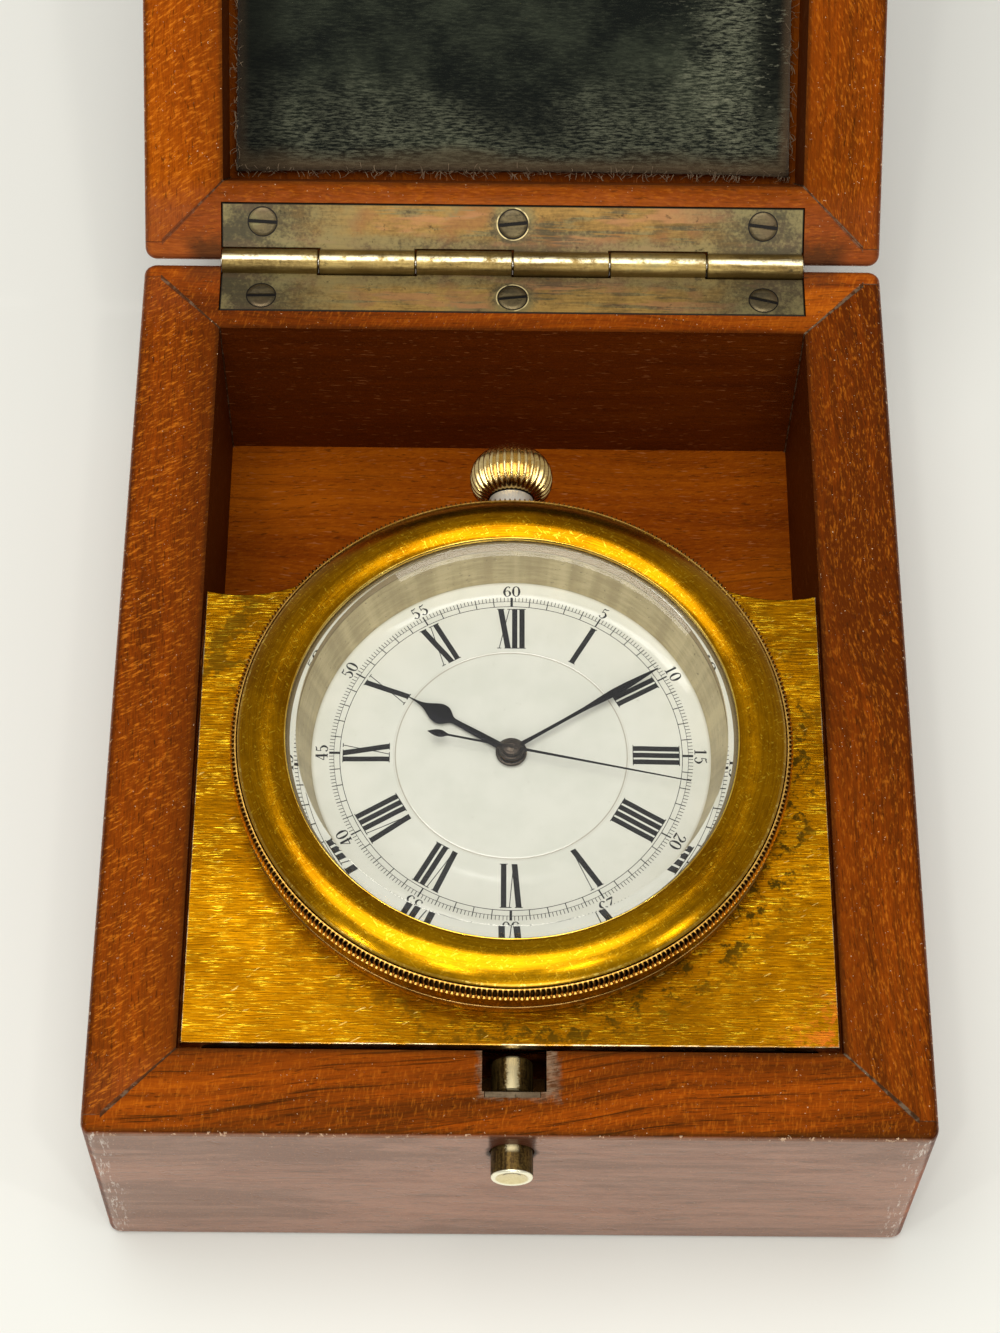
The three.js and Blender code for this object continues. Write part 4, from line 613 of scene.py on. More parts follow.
def buttonBrass():
    # dark handled sides, a dished end rubbed pale, with painted shade in the upper part of the dish
    tints = buttonTints
    f = Finish('handled button brass', metallic=0.75)
    brushed = f.grain(f.x * 2.6, f.y * 0.3, f.z * 2.6, 3.0, 0.65)
    fine = f.noise(f.place, 3.0, 3.0, 0.65)
    dx, dz = f.x - notch['holeX'], f.z - notch['holeZ']
    r = f.length(dx, dz)
    colour = f.mix(f.step(brushed * 0.6 + fine * 0.4, 0.38, 0.64), tints['deep'], tints['pale'])
    dish = (1 - f.step(r, 1.8, 1.95)) * (1 - f.step(f.y, -69.6, -69.4))
    end = f.most(1 - f.step(f.y, -70.92, -70.72), dish)
    face = f.mix(fine, tints['dish'], tints['dishPale'])
    crescent = f.band(dz + dx * dx * 0.5 + (fine - 0.5) * 0.4, 1.0, 0.16, 0.3)
    crescent = crescent * (1 - f.step(abs(dx), 0.9, 1.3))
    face = f.mix(crescent * 0.85, face, tints['recessShade'])
    # the rounded rim of the end is painted as a bright highlight
    face = f.mix(f.step(r, 2.0, 2.2), face, tints['rim'])
    colour = f.mix(end, colour, face)
    # a soft painted highlight runs along the top of the shank, near the wall
    glint = f.band(dx + (fine - 0.5) * 1.2, 0.0, 0.5, 0.5) * (1 - end)
    glint = glint * f.step(dz, 1.8, 2.3) * f.step(f.y, -68.6, -67.8)
    colour = f.mix(glint * 0.5, colour, tints['glint'])
    f.set(Base=colour, Roughness=0.42 - end * 0.2 + (fine - 0.5) * 0.16, Specular=0.2)
    f.bump(brushed * 0.5 + fine * 0.4, 0.2, 0.00005)
    return f.material

def steel(name, base, rough=0.3, dark=0.4, metallic=1.0):
    f = Finish(name, metallic=metallic)
    cloud = f.noise(f.place, 0.8, 4.0, 0.65)
    fine = f.noise(f.place, 6.0, 3.0, 0.6)
    spots = f.step(cloud, 0.55, 0.7)
    shade = tuple(c * dark for c in base[:3]) + (1.0,)
    colour = f.mix(spots * 0.6 + (fine - 0.5) * 0.3, base, shade)
    f.set(Base=colour, Roughness=rough + (cloud - 0.5) * 0.18)
    f.bump(fine * 0.6 + cloud * 0.4, 0.12, 0.00005)
    return f.material

silverTints = {
    'deep': tint(164, 148, 108), 'pale': tint(198, 183, 140), 'speck': tint(70, 58, 34),
    'line': tint(82, 70, 46), 'scuff': tint(64, 52, 34), 'top': tint(116, 100, 66)}

def silvered():
    # the light fans out round the middle, over fine turned rings
    tints = silverTints
    f = Finish('silvered sight ring', metallic=0.35)
    r, turn = f.polar(watch['x'], watch['y'])
    rings = f.grain(r * 2.2, turn * 7.0, f.z * 2.2, 3.0, 0.65)
    glow = f.grain(turn * 9.0, r * 0.05, 0.0, 3.0, 0.6)
    colour = f.mix(f.step(glow * 0.6 + rings * 0.4, 0.36, 0.66), tints['deep'], tints['pale'])
    specks = f.step(f.noise(f.place, 1.9, 3.0, 0.7), 0.665, 0.7)
    colour = f.mix(specks * 0.8, colour, tints['speck'])
    lines = f.step(f.grain(r * 1.8 + turn * 3.0, turn * 14.0, f.z * 1.8, 2.0, 0.6), 0.72, 0.75)
    colour = f.mix(lines * 0.55, colour, tints['line'])
    scuffs = f.step(f.grain(f.x * 0.9 + f.z * 0.6, f.z * 3.0 - f.x * 1.4, f.y, 2.0, 0.7), 0.66, 0.7)
    scuffs = scuffs * f.step(f.noise(f.place, 0.1, 2.0), 0.5, 0.6)
    colour = f.mix(scuffs * 0.7, colour, tints['scuff'])
    # its flat top is only seen through the bevel of the glass, and is painted dark, a painted shade under the
    # bezel and the glass's ledge
    colour = f.mix(f.step(f.z, 42.7, 42.84), colour, tints['top'])
    f.set(Base=colour, Roughness=0.4 + (rings - 0.5) * 0.2)
    f.bump(rings * 0.4 - specks * 0.9 - lines * 0.8, 0.2, 0.00005)
    return f.material

metals = {
    'plate': platedBrass(),
    'bezel': gilt('satin gilt bezel', tint(180, 124, 5), tint(132, 84, 2), 0.22, spotty=0.25, rubbed=True),
    'lip': gilt('gilt lip painted bright', tint(255, 222, 110), tint(210, 156, 40), 0.16, spotty=0.2),
    'milled': gilt('milled gilt edge', tint(230, 184, 96), tint(176, 126, 48), 0.3, toothed=True),
    'case': gilt('gilt case', tint(192, 148, 82), tint(112, 84, 38), 0.26),
    'crown': gilt('pale gilt crown', tint(248, 222, 156), tint(206, 168, 94), 0.2, spotty=0.3, fluted=True),
    'leafBase': wornBrass('old hinge brass', tint(174, 138, 72), tint(122, 96, 48), tint(150, 108, 68),
                          leaf=True),
    'leafLid': wornBrass('old lid hinge brass', tint(158, 122, 62), tint(100, 76, 36), tint(138, 92, 52),
                         lid=True, leaf=True),
    'barrel': wornBrass('barrel brass with painted light', tint(170, 146, 84), tint(92, 72, 32), tint(128, 104, 52),
                        0.36, barrel=True),
    'screw': wornBrass('dark screw brass', tint(112, 98, 66), tint(64, 56, 38), tint(88, 72, 50), 0.36),
    'slot': wornBrass('painted shade in the slots', tint(44, 34, 20), tint(20, 15, 9), tint(30, 22, 12), 0.8),
    'guide': wornBrass('grey guide brass', tint(136, 118, 92), tint(62, 50, 36), tint(100, 82, 60), 0.7),
    'button': buttonBrass(),
    'striker': wornBrass('lid catch brass', tint(206, 178, 96), tint(140, 116, 54), tint(168, 130, 84),
                         0.3, lid=True),
    'movement': gilt('gilded movement', tint(214, 170, 80), tint(170, 126, 52), 0.3),
    'steel': steel('bright steel', tint(186, 182, 172), 0.3),
    'neck': steel('pale pendant steel', tint(206, 200, 188), 0.36, 0.75, 0.55),
    'blued': steel('blued steel', tint(14, 14, 17), 0.22, 0.5),
    'hub': steel('browned steel hub', tint(66, 58, 50), 0.24, 0.5),
    'silver': silvered(),
}
print("metals finished:", len(metals))


# Enamel dial, its print and the glass
enamelTints = {
    'cool': tint(219, 219, 208), 'warm': tint(211, 212, 200), 'ring': tint(150, 138, 118),
    'ringFaint': tint(170, 158, 140), 'mote': tint(140, 130, 112), 'edge': tint(176, 168, 140),
    'crack': tint(160, 150, 132)}

def enamel():
    # cream white with a brown-grey line in the groove, small motes, one hair crack and a yellowed edge
    tints = enamelTints
    f = Finish('glossy white enamel', roughness=0.14)
    r = f.length(f.x - watch['x'], f.y - watch['y'])
    cloud = f.noise(f.place, 0.16, 4.0, 0.6)
    colour = f.mix(f.step(cloud, 0.35, 0.7), tints['cool'], tints['warm'])
    colour = f.mix(f.band(r, dialForm['groove'], 0.03, 0.1) * 0.7, colour, tints['ring'])
    colour = f.mix(f.band(r, 15.78, 0.01, 0.06) * 0.3, colour, tints['ringFaint'])
    motes = f.step(f.noise(f.place, 2.6, 2.0, 0.6), 0.73, 0.76)
    colour = f.mix(motes * 0.55, colour, tints['mote'])
    edge = f.step(r, 26.3, 26.75)
    colour = f.mix(edge * 0.5, colour, tints['edge'])
    crack = f.step(f.grain(f.x * 0.12 + f.y * 0.2, f.y * 0.9 - f.x * 0.5, 0.0, 4.0, 0.7), 0.735, 0.74)
    colour = f.mix(crack * 0.25, colour, tints['crack'])
    f.set(Base=colour, Roughness=0.12 + (cloud - 0.5) * 0.08, Coat=0.6, CoatRoughness=0.05)
    f.bump(cloud * 0.6 - motes * 0.4, 0.1, 0.00008)
    return f.material

inkTints = {'deep': tint(6, 6, 6), 'worn': tint(24, 24, 22)}

def dialInk():
    f = Finish('fired black ink', roughness=0.3)
    worn = f.noise(f.place, 3.0, 3.0, 0.6)
    colour = f.mix(f.step(worn, 0.5, 0.75), inkTints['deep'], inkTints['worn'])
    f.set(Base=colour, Roughness=0.38 + worn * 0.14, Specular=0.12)
    f.bump(worn, 0.1, 0.00003)
    return f.material

def clearGlass():
    f = Finish('bevelled glass', roughness=0.0)
    smear = f.noise(f.place, 0.2, 3.0, 0.6)
    f.set(Base=(0.985, 0.99, 0.985, 1), Clear=1.0, IOR=1.5, Specular=0.15,
          Roughness=f.step(smear, 0.5, 0.9) * 0.02)
    # shadow rays and rays that light the dial go straight through the glass
    light = f.tree.nodes.new('ShaderNodeLightPath')
    through = f.tree.nodes.new('ShaderNodeBsdfTransparent')
    through.inputs[0].default_value = (0.97, 0.975, 0.97, 1)
    share = f.most(Field(f, light.outputs['Is Shadow Ray']), Field(f, light.outputs['Is Diffuse Ray']))
    blend = f.tree.nodes.new('ShaderNodeMixShader')
    f.tree.links.new(share.socket, blend.inputs[0])
    f.tree.links.new(f.surface.outputs[0], blend.inputs[1])
    f.tree.links.new(through.outputs[0], blend.inputs[2])
    f.tree.links.new(blend.outputs[0], f.out.inputs[0])
    return f.material

ink, glassFinish = dialInk(), clearGlass()

dialForm = {'radius': 28.4, 'seen': 26.7, 'thick': 0.9, 'dome': 0.25, 'hole': 1.9, 'sink': 0.02,
            'groove': 15.52, 'grooveDeep': 0.035, 'grooveWide': 0.13,
            'swells': ((0.05, 17.6, 1.3), (0.025, 24.6, 0.9))}

def dialHeight(r):
    # dome (1 - (r / R)^2), minus a groove inside the hours, plus two low swells under the hours and the
    # seconds track; groove and swells are bells, height * exp(-((r - middle) / width)^2)
    r = np.asarray(r, float)
    def bell(high, middle, wide):
        return high * np.exp(-((r - middle) / wide) ** 2)
    rise = dialForm['dome'] * (1 - (np.minimum(r, dialForm['seen']) / dialForm['seen']) ** 2)
    groove = bell(dialForm['grooveDeep'], dialForm['groove'], dialForm['grooveWide'])
    swell = sum(bell(*each) for each in dialForm['swells'])
    return watch['plateTop'] + rise - groove + swell - dialForm['sink']

def makeDial():
    # the rows lie close together round the groove
    form = dialForm
    r = np.concatenate([np.linspace(form['hole'], 15.0, 14), np.linspace(15.1, 16.0, 19),
                        np.linspace(16.2, form['seen'], 43)])
    face = np.stack([r, dialHeight(r)], 1)
    under = watch['plateTop'] - form['thick']
    back = [[form['radius'], watch['plateTop'] - 0.1], [form['radius'], under], [form['hole'], under]]
    piece = turnedPiece('dial_face', np.concatenate([face, back]), watchCentre, columns=256)
    return dressed(smoothEdges(piece), 'box_base', 'enamel', enamel(), 'dial')

# the print's height over and under the dial's face, the length of its pieces, and how far a digit's
# stroke is widened from its path
inkForm = {'below': 0.02, 'above': 0.02, 'ringAbove': 0.012, 'piece': 0.45, 'swell': 1.2, 'thinnest': 0.04}

def inkRing(corners, turn):
    # corners (u, v), with u along the dial's circle and v outwards, laid at the dial's own height
    corners = np.asarray(corners, float)
    c, s = math.cos(turn), math.sin(turn)
    x, y = corners[..., 0] * c + corners[..., 1] * s, corners[..., 1] * c - corners[..., 0] * s
    return np.stack([x, y + watch['y'], dialHeight(np.hypot(x, y))], -1)

def inkQuad(heap, corners, turn=0.0):
    ring = inkRing(corners, turn)
    heap.add(*prismRings([ring - (0, 0, inkForm['below']), ring + (0, 0, inkForm['above'])]))

def inkBar(heap, foot, head, width, turn=0.0):
    # a strip from foot to head, cut level at both ends, in short lengths that follow the dome
    parts = max(1, int(abs(head[1] - foot[1]) / inkForm['piece']))
    t = np.linspace(0, 1, parts + 1)[:, None]
    middle = np.array(foot) * (1 - t) + np.array(head) * t
    left, right = inkRing(middle - (width / 2, 0), turn), inkRing(middle + (width / 2, 0), turn)
    down, up = (0, 0, -inkForm['below']), (0, 0, inkForm['above'])
    heap.add(*prismRings(np.stack([left + down, right + down, right + up, left + up], 1)))

def stroke(heap, path, turn=0.0, shift=(0.0, 0.0), scale=1.0):
    # a ribbon of changing width along a smooth cubic path through points p of (x, y, width):
    # 0.5 (2 p1 + (p2 - p0) w + (2 p0 - 5 p1 + 4 p2 - p3) w^2 + (3 p1 - p0 - 3 p2 + p3) w^3)
    path = np.asarray(path, float)
    t = np.arange(len(path))
    fineT = np.linspace(0, len(path) - 1, (len(path) - 1) * 4 + 1) if len(path) > 2 else t
    padded = np.vstack([2 * path[0] - path[1], path, 2 * path[-1] - path[-2]])
    i = np.minimum(fineT.astype(int), len(path) - 2)
    w = (fineT - i)[:, None]
    p0, p1, p2, p3 = (padded[i + k] for k in range(4))
    curve = 0.5 * (2 * p1 + (p2 - p0) * w + (2 * p0 - 5 * p1 + 4 * p2 - p3) * w ** 2
                   + (3 * p1 - p0 - 3 * p2 + p3) * w ** 3)
    along = np.gradient(curve[:, :2], axis=0)
    normal = np.stack([-along[:, 1], along[:, 0]], 1) / np.linalg.norm(along, axis=1, keepdims=True)
    half = np.maximum(curve[:, 2:] * inkForm['swell'], inkForm['thinnest']) / 2
    left, right = curve[:, :2] + normal * half, curve[:, :2] - normal * half
    for k in range(len(curve) - 1):
        quad = np.array([left[k], left[k + 1], right[k + 1], right[k]]) * scale + np.array(shift)
        inkQuad(heap, quad, turn)

numeral = {'foot': 16.3, 'head': 22.5, 'stem': 0.72, 'hair': 0.11, 'serif': 0.15, 'inset': 0.42,
           'hairSerif': 0.28, 'wide': {'I': 1.0, 'V': 1.9, 'X': 1.85}}
romans = ['XII', 'I', 'II', 'III', 'IIII', 'V', 'VI', 'VII', 'VIII', 'IX', 'X', 'XI']

def romanNumeral(heap, letters, turn):
    # letters stand on the inner circle, side by side, with thick and thin strokes and flat serifs
    wide, inset, thin = numeral['wide'], numeral['inset'], numeral['hairSerif']
    u = -sum(wide[letter] for letter in letters) / 2
    low, high, stem, hair = numeral['foot'], numeral['head'], numeral['stem'], numeral['hair']
    thick = stem / 2 + numeral['serif']
    def bar(u0, u1, width):
        inkBar(heap, (u0, low), (u1, high), width, turn)
    def serif(at, v, width):
        inkBar(heap, (at, v - hair / 2), (at, v + hair / 2), 2 * width, turn)
    for letter in letters:
        w = wide[letter]
        middle = u + w / 2
        if letter == 'I':
            bar(middle, middle, stem)
            serif(middle, low, thick)
            serif(middle, high, thick)
        if letter == 'V':
            bar(middle + 0.04, u + inset, stem + 0.04)
            bar(middle + 0.16, u + w - 0.26, hair)
            serif(u + inset, high, thick)
            serif(u + w - 0.26, high, thin)
        if letter == 'X':
            bar(u + w - inset, u + inset, stem + 0.06)
            bar(u + 0.24, u + w - 0.24, hair)
            serif(u + inset, high, thick)
            serif(u + w - inset, low, thick)
            serif(u + 0.24, low, thin)
            serif(u + w - 0.24, high, thin)
        u += w

# digits as pen paths in a box 1 high and 0.62 wide
digits = {
    '0': [[(0.31, 1, 0.05), (0.12, 0.86, 0.1), (0.05, 0.5, 0.17), (0.12, 0.14, 0.1), (0.31, 0, 0.05),
           (0.5, 0.14, 0.1), (0.57, 0.5, 0.17), (0.5, 0.86, 0.1), (0.31, 1, 0.05)]],
    '1': [[(0.33, 0, 0.15), (0.33, 1, 0.15)], [(0.14, 0.82, 0.04), (0.33, 0.97, 0.06)],
          [(0.12, 0.02, 0.05), (0.54, 0.02, 0.05)]],
    '2': [[(0.1, 0.74, 0.16), (0.15, 0.93, 0.06), (0.34, 1, 0.06), (0.53, 0.84, 0.14), (0.5, 0.62, 0.14),
           (0.26, 0.32, 0.06), (0.06, 0.05, 0.05)],
          [(0.06, 0.05, 0.07), (0.3, 0.08, 0.13), (0.56, 0.06, 0.08), (0.6, 0.2, 0.04)]],
    '3': [[(0.1, 0.8, 0.13), (0.18, 0.97, 0.06), (0.38, 0.98, 0.07), (0.5, 0.8, 0.14), (0.42, 0.6, 0.08),
           (0.22, 0.53, 0.04)],
          [(0.22, 0.53, 0.04), (0.46, 0.48, 0.07), (0.56, 0.28, 0.15), (0.44, 0.04, 0.08),
           (0.2, 0.02, 0.05), (0.07, 0.18, 0.13)]],
    '4': [[(0.42, 1, 0.05), (0.03, 0.3, 0.05)], [(0.03, 0.3, 0.06), (0.6, 0.3, 0.06)],
          [(0.44, 1, 0.16), (0.44, 0, 0.16)], [(0.26, 0.02, 0.05), (0.6, 0.02, 0.05)]],
    '5': [[(0.16, 0.94, 0.1), (0.34, 0.92, 0.08), (0.54, 1, 0.05)], [(0.16, 0.94, 0.05), (0.13, 0.54, 0.05)],
          [(0.13, 0.54, 0.05), (0.34, 0.62, 0.06), (0.55, 0.34, 0.16), (0.4, 0.04, 0.08),
           (0.2, 0.01, 0.05), (0.07, 0.16, 0.13)]],
    '6': [[(0.52, 0.84, 0.13), (0.44, 0.98, 0.05), (0.2, 0.84, 0.1), (0.06, 0.42, 0.17), (0.18, 0.06, 0.09),
           (0.33, 0, 0.05), (0.52, 0.12, 0.1), (0.55, 0.34, 0.15), (0.4, 0.56, 0.06), (0.18, 0.5, 0.04),
           (0.1, 0.36, 0.04)]],
}

track = {'inner': 22.92, 'comb': 23.72, 'outer': 24.36, 'label': 24.56, 'labelHeight': 1.62,
         'digitStep': 0.76, 'digitWide': 0.62, 'fifth': 0.085, 'one': 0.12, 'five': 0.2, 'quarter': 0.34,
         'innerLine': 0.085, 'combLine': 0.06}

def ringInk(heap, radius, width, count=240):
    # a ring band from radius - width / 2 to radius + width / 2, at the dial's own height
    a = np.arange(count) * 2 * math.pi / count
    inner, outer, low, high = radius - width / 2, radius + width / 2, -inkForm['below'], inkForm['ringAbove']
    rows = [(inner, low), (outer, low), (outer, high), (inner, high)]
    rings = [np.stack([r * np.sin(a), r * np.cos(a) + watch['y'], dialHeight(r) + z + 0 * a], 1)
             for r, z in rows]
    heap.add(np.concatenate(rings), gridFaces(len(rows), count, closeRows=True))

def makeDialPrint():
    heap = Heap()
    for hour, letters in enumerate(romans):
        romanNumeral(heap, letters, hour * math.pi / 6)
    # 60 long ticks with four short ones between them, and wider ones at each fifth and fifteenth
    for tick in range(300):
        long, turn = tick // 5, tick * math.pi / 150
        if tick % 5:
            width, low = track['fifth'], track['comb']
        else:
            kind = 'quarter' if long % 15 == 0 else 'five' if long % 5 == 0 else 'one'
            width, low = track[kind], track['inner']
        inkBar(heap, (0, low), (0, track['outer']), width, turn)
    ringInk(heap, track['inner'], track['innerLine'])
    ringInk(heap, track['comb'], track['combLine'])
    high = track['labelHeight']
    pace = track['digitStep'] * high
    for mark in range(5, 65, 5):
        label, turn = str(mark), mark * math.pi / 30
        for k, digit in enumerate(label):
            u = (k - len(label) / 2) * pace + (pace - track['digitWide'] * high) / 2
            for path in digits[digit]:
                stroke(heap, path, turn, (u, track['label']), high)
    piece = heap.piece('dial_print')
    return dressed(piece, 'box_base', 'enamel', ink)

dial = makeDial()
dialPrint = makeDialPrint()
print("dial printed:", len(dialPrint.data.polygons), "faces")


# Watch case, bezel, sight ring and glass
bezelForm = {'side': 36.85, 'bore': 34.3, 'groove': 36.38, 'opening': 29.86, 'lip': 0.2, 'lipTop': 45.0,
             'crown': 0.92, 'seat': 31.0, 'seatFoot': 43.15, 'seatTop': 44.1, 'columns': 288}

def makeBezel():
    form, foot, shoulder = bezelForm, watch['bezelFoot'], watch['bezelShoulder']
    t = np.linspace(0, 1, 30)
    start, end = form['groove'] - 0.08, form['opening'] + form['lip']
    # the band's height is a straight rise from groove to lip plus crown * sin(pi t)^0.85
    height = (shoulder + 0.2 + (form['lipTop'] - shoulder - 0.2) * t
              + form['crown'] * np.sin(math.pi * t) ** 0.85)
    crown = np.stack([start + (end - start) * t, height], 1)
    outer = [[form['bore'], foot + 0.05], [form['side'] - 0.12, foot + 0.05], [form['side'], foot + 0.17],
             [form['side'], milling['foot'] + 0.1], [form['groove'] + 0.1, milling['foot'] + 0.1],
             [form['groove'] + 0.1, shoulder - 0.05], [form['groove'], shoulder - 0.08]]
    inner = [[end - 0.05, form['seatTop'] + 0.02], [form['seat'], form['seatTop'] + 0.02],
             [form['seat'], form['seatFoot'] + 0.1], [form['bore'], form['seatFoot'] + 0.1]]
    profile = np.concatenate([outer, crown, inner])
    body = turnedPiece('bezel_band', profile, watchCentre, columns=form['columns'])
    dressed(smoothEdges(body, 40), 'bezel', 'gold', metals['bezel'], 'bezel')
    # a thin polished lip inside the crown, in a paler gilt that paints its bright highlight
    low, top = form['seatTop'] + 0.04, form['lipTop'] + 0.03
    lip = softened([[form['opening'], low], [form['opening'], top], [end + 0.02, top], [end + 0.02, low]],
                   0.08)
    lipPiece = turnedPiece('bezel_lip', lip, watchCentre, columns=form['columns'])
    dressed(smoothEdges(lipPiece, 50), 'bezel', 'gold', metals['lip'])
    # milling: each row's radius falls by its share of the depth times clip(0.8 + 0.8 cos(teeth a), 0, 1)
    tip, low, high = milling['radius'], milling['foot'], milling['top']
    rows = np.array([[tip - 0.82, low], [tip - 0.12, low], [tip, low + 0.1], [tip, high - 0.6],
                     [tip - 0.14, high - 0.3], [tip - 0.56, high - 0.03], [tip - 0.66, high],
                     [tip - 0.82, high]])
    cut = np.array([0, 0, 1, 1, 0.9, 0.2, 0, 0])[:, None] * milling['depth'] / tip
    def flute(a, row):
        return 1 - cut * np.clip(0.8 + 0.8 * np.cos(a * milling['teeth']), 0, 1)
    milled = turnedPiece('bezel_milling', rows, watchCentre, columns=milling['teeth'] * 8, ripple=flute)
    dressed(smoothEdges(milled, 40), 'bezel', 'gold', metals['milled'])

caseForm = {'bore': 32.1, 'side': 34.0, 'flange': 36.9, 'thread': 33.9, 'foot': 17.0, 'rim': 42.9}

def makeCase():
    form, top, flange = caseForm, watch['plateTop'], watch['flangeTop']
    outer = softened([[form['bore'], form['foot']], [form['side'], form['foot']], [form['side'], top + 0.02],
                      [form['flange'], top + 0.02], [form['flange'], flange], [form['thread'], flange],
                      [form['thread'], form['rim']], [form['bore'], form['rim']]], 0.16)
    bowl = turnedPiece('case_body', outer, watchCentre, columns=224)
    dressed(smoothEdges(bowl, 50), 'box_base', 'brass', metals['case'], 'case_bowl')
    # the silvered ring slopes up and outwards from the dial's edge
    ring = softened([[26.72, top + 0.02], [31.98, top + 0.02], [31.98, form['rim']], [28.6, form['rim']],
                     [28.5, form['rim'] - 0.3]], 0.08)
    sight = turnedPiece('sight_ring_silver', ring, watchCentre, columns=256)
    dressed(smoothEdges(sight, 50), 'box_base', 'silver', metals['silver'], 'sight_ring')
    # the back is chamfered below and has a narrow ring that stands up inside the bowl
    back = softened([[0.0, 13.42], [31.9, 13.42], [form['side'], 15.4], [form['side'], form['foot']],
                     [32.0, form['foot']], [32.0, 18.6], [30.6, 18.6], [30.6, form['foot']],
                     [0.0, form['foot']]], 0.7, 4)
    back[:, 0] = np.maximum(back[:, 0], 0)
    cover = turnedPiece('case_cover', back, watchCentre, columns=160)
    dressed(smoothEdges(cover, 50), 'box_base', 'brass', metals['case'], 'case_back')

glassForm = {'foot': 43.15, 'edge': 30.9, 'ledge': 44.05, 'bevelFoot': 29.78, 'flat': 28.4, 'top': 45.62}

def makeGlass():
    # a flat disc with a ledge held under the bezel and one wide bevel
    form = glassForm
    edge, foot, ledge, top = form['edge'], form['foot'], form['ledge'], form['top']
    profile = [[0, foot], [edge - 0.2, foot], [edge, foot + 0.15], [edge, ledge], [form['bevelFoot'], ledge],
               [form['bevelFoot'] - 0.02, ledge + 0.1], [form['flat'] + 0.1, top - 0.03], [form['flat'], top],
               [0, top]]
    piece = turnedPiece('watch_glass', profile, watchCentre, columns=256, closed=False, smooth=False)
    return dressed(smoothEdges(piece, 12), 'glass', 'glass', glassFinish, 'glass')

makeBezel()
makeCase()
makeGlass()
print("case and bezel turned")


# Hands
handForm = {
    'hour': {'turn': -59.2, 'reach': 16.05, 'wide': 3.1, 'foot': 37.8, 'thick': 0.3,
             'outline': [(0.06, 0.36), (0.3, 0.33), (0.5, 0.27), (0.575, 0.26), (0.595, 0.36), (0.615, 0.66),
                         (0.65, 0.92), (0.69, 1.0), (0.735, 0.93), (0.78, 0.68), (0.825, 0.4), (0.87, 0.2),
                         (0.93, 0.1), (1.0, 0.03)]},
    'minute': {'turn': 57.5, 'reach': 23.5, 'wide': 1.15, 'foot': 38.55, 'thick': 0.26,
               'outline': [(0.05, 0.62), (0.15, 0.46), (0.35, 0.42), (0.5, 0.5), (0.6, 0.78), (0.69, 1.0),
                           (0.78, 0.9), (0.88, 0.6), (0.95, 0.36), (1.0, 0.1)]},
    'seconds': {'turn': 101.5, 'reach': 24.3, 'wide': 1.15, 'foot': 39.3, 'thick': 0.2,
                'outline': [(0.02, 0.42), (0.1, 0.34), (0.6, 0.24), (1.0, 0.12)]},
    'tail': {'turn': 281.5, 'reach': 11.45, 'wide': 1.15, 'foot': 39.3, 'thick': 0.2,
             'outline': [(0.05, 0.42), (0.2, 0.3), (0.72, 0.27), (0.775, 0.3), (0.79, 0.62), (0.83, 0.95),
                         (0.87, 1.0), (0.92, 0.8), (0.96, 0.45), (1.0, 0.06)]},
}
hubForm = {
    'hour': [[1.63, 37.8], [2.05, 37.8], [2.12, 38.02], [2.02, 38.3], [1.63, 38.3]],
    'minute': [[0.93, 38.55], [1.6, 38.55], [1.66, 38.75], [1.5, 39.05], [0.93, 39.05]],
    'seconds': [[0, 39.25], [1.2, 39.25], [1.3, 39.35], [1.3, 39.62], [1.2, 39.78], [0.95, 39.84],
                [0.85, 39.8], [0.75, 39.84], [0.5, 39.92], [0.3, 39.94], [0.22, 39.9], [0.16, 39.78],
                [0, 39.76]]}

def handBlade(heap, form, samples=64, across=7):
    # width w(t) is eased between the outline's points, and the section is z = thick ((1 - s^4) / 2 + 0.04)
    # over s from -1 to 1, mirrored below
    outline = np.array(form['outline'])
    t = np.linspace(outline[0, 0], 1, samples)
    w = np.interp(t, outline[:, 0], outline[:, 1])
    kernel = np.array([1, 2, 1]) / 4
    for _ in range(3):
        w[1:-1] = np.convolve(w, kernel, 'valid')
    half, y = w * form['wide'] / 2, t * form['reach']
    side = np.linspace(-1, 1, across)
    upper = np.stack([side, (1 - side ** 4) * 0.5 + 0.04], 1)
    section = np.concatenate([upper, upper[::-1] * (1, -1)])
    x = half[:, None] * section[None, :, 0]
    z = form['foot'] + 0.25 + form['thick'] * section[None, :, 1] + 0 * x
    y = np.repeat(y[:, None], section.shape[0], 1)
    turn = math.radians(form['turn'])
    c, s = math.cos(turn), math.sin(turn)
    heap.add(*prismRings(np.stack([x * c + y * s, y * c - x * s + watch['y'], z], -1)))

def makeHands():
    for hand, blades in (('hour', ('hour',)), ('minute', ('minute',)), ('seconds', ('seconds', 'tail'))):
        heap = Heap()
        for part in blades:
            handBlade(heap, handForm[part])
        blade = heap.piece(hand + '_hand_blade', smooth=True)
        dressed(smoothEdges(blade, 40), hand, 'blue_steel', metals['blued'], hand + '_hand')
    for hand, profile in hubForm.items():
        # the hubs of the hour and minute hands are rings, and the seconds hand has a solid cap
        ring = profile[0][0] > 0
        profile = softened(profile, 0.1) if ring else profile
        hub = turnedPiece(hand + '_hub', profile, watchCentre, columns=72, closed=ring)
        dressed(smoothEdges(hub, 50), hand, 'blue_steel', metals['hub'])

makeHands()
print("hands shaped")


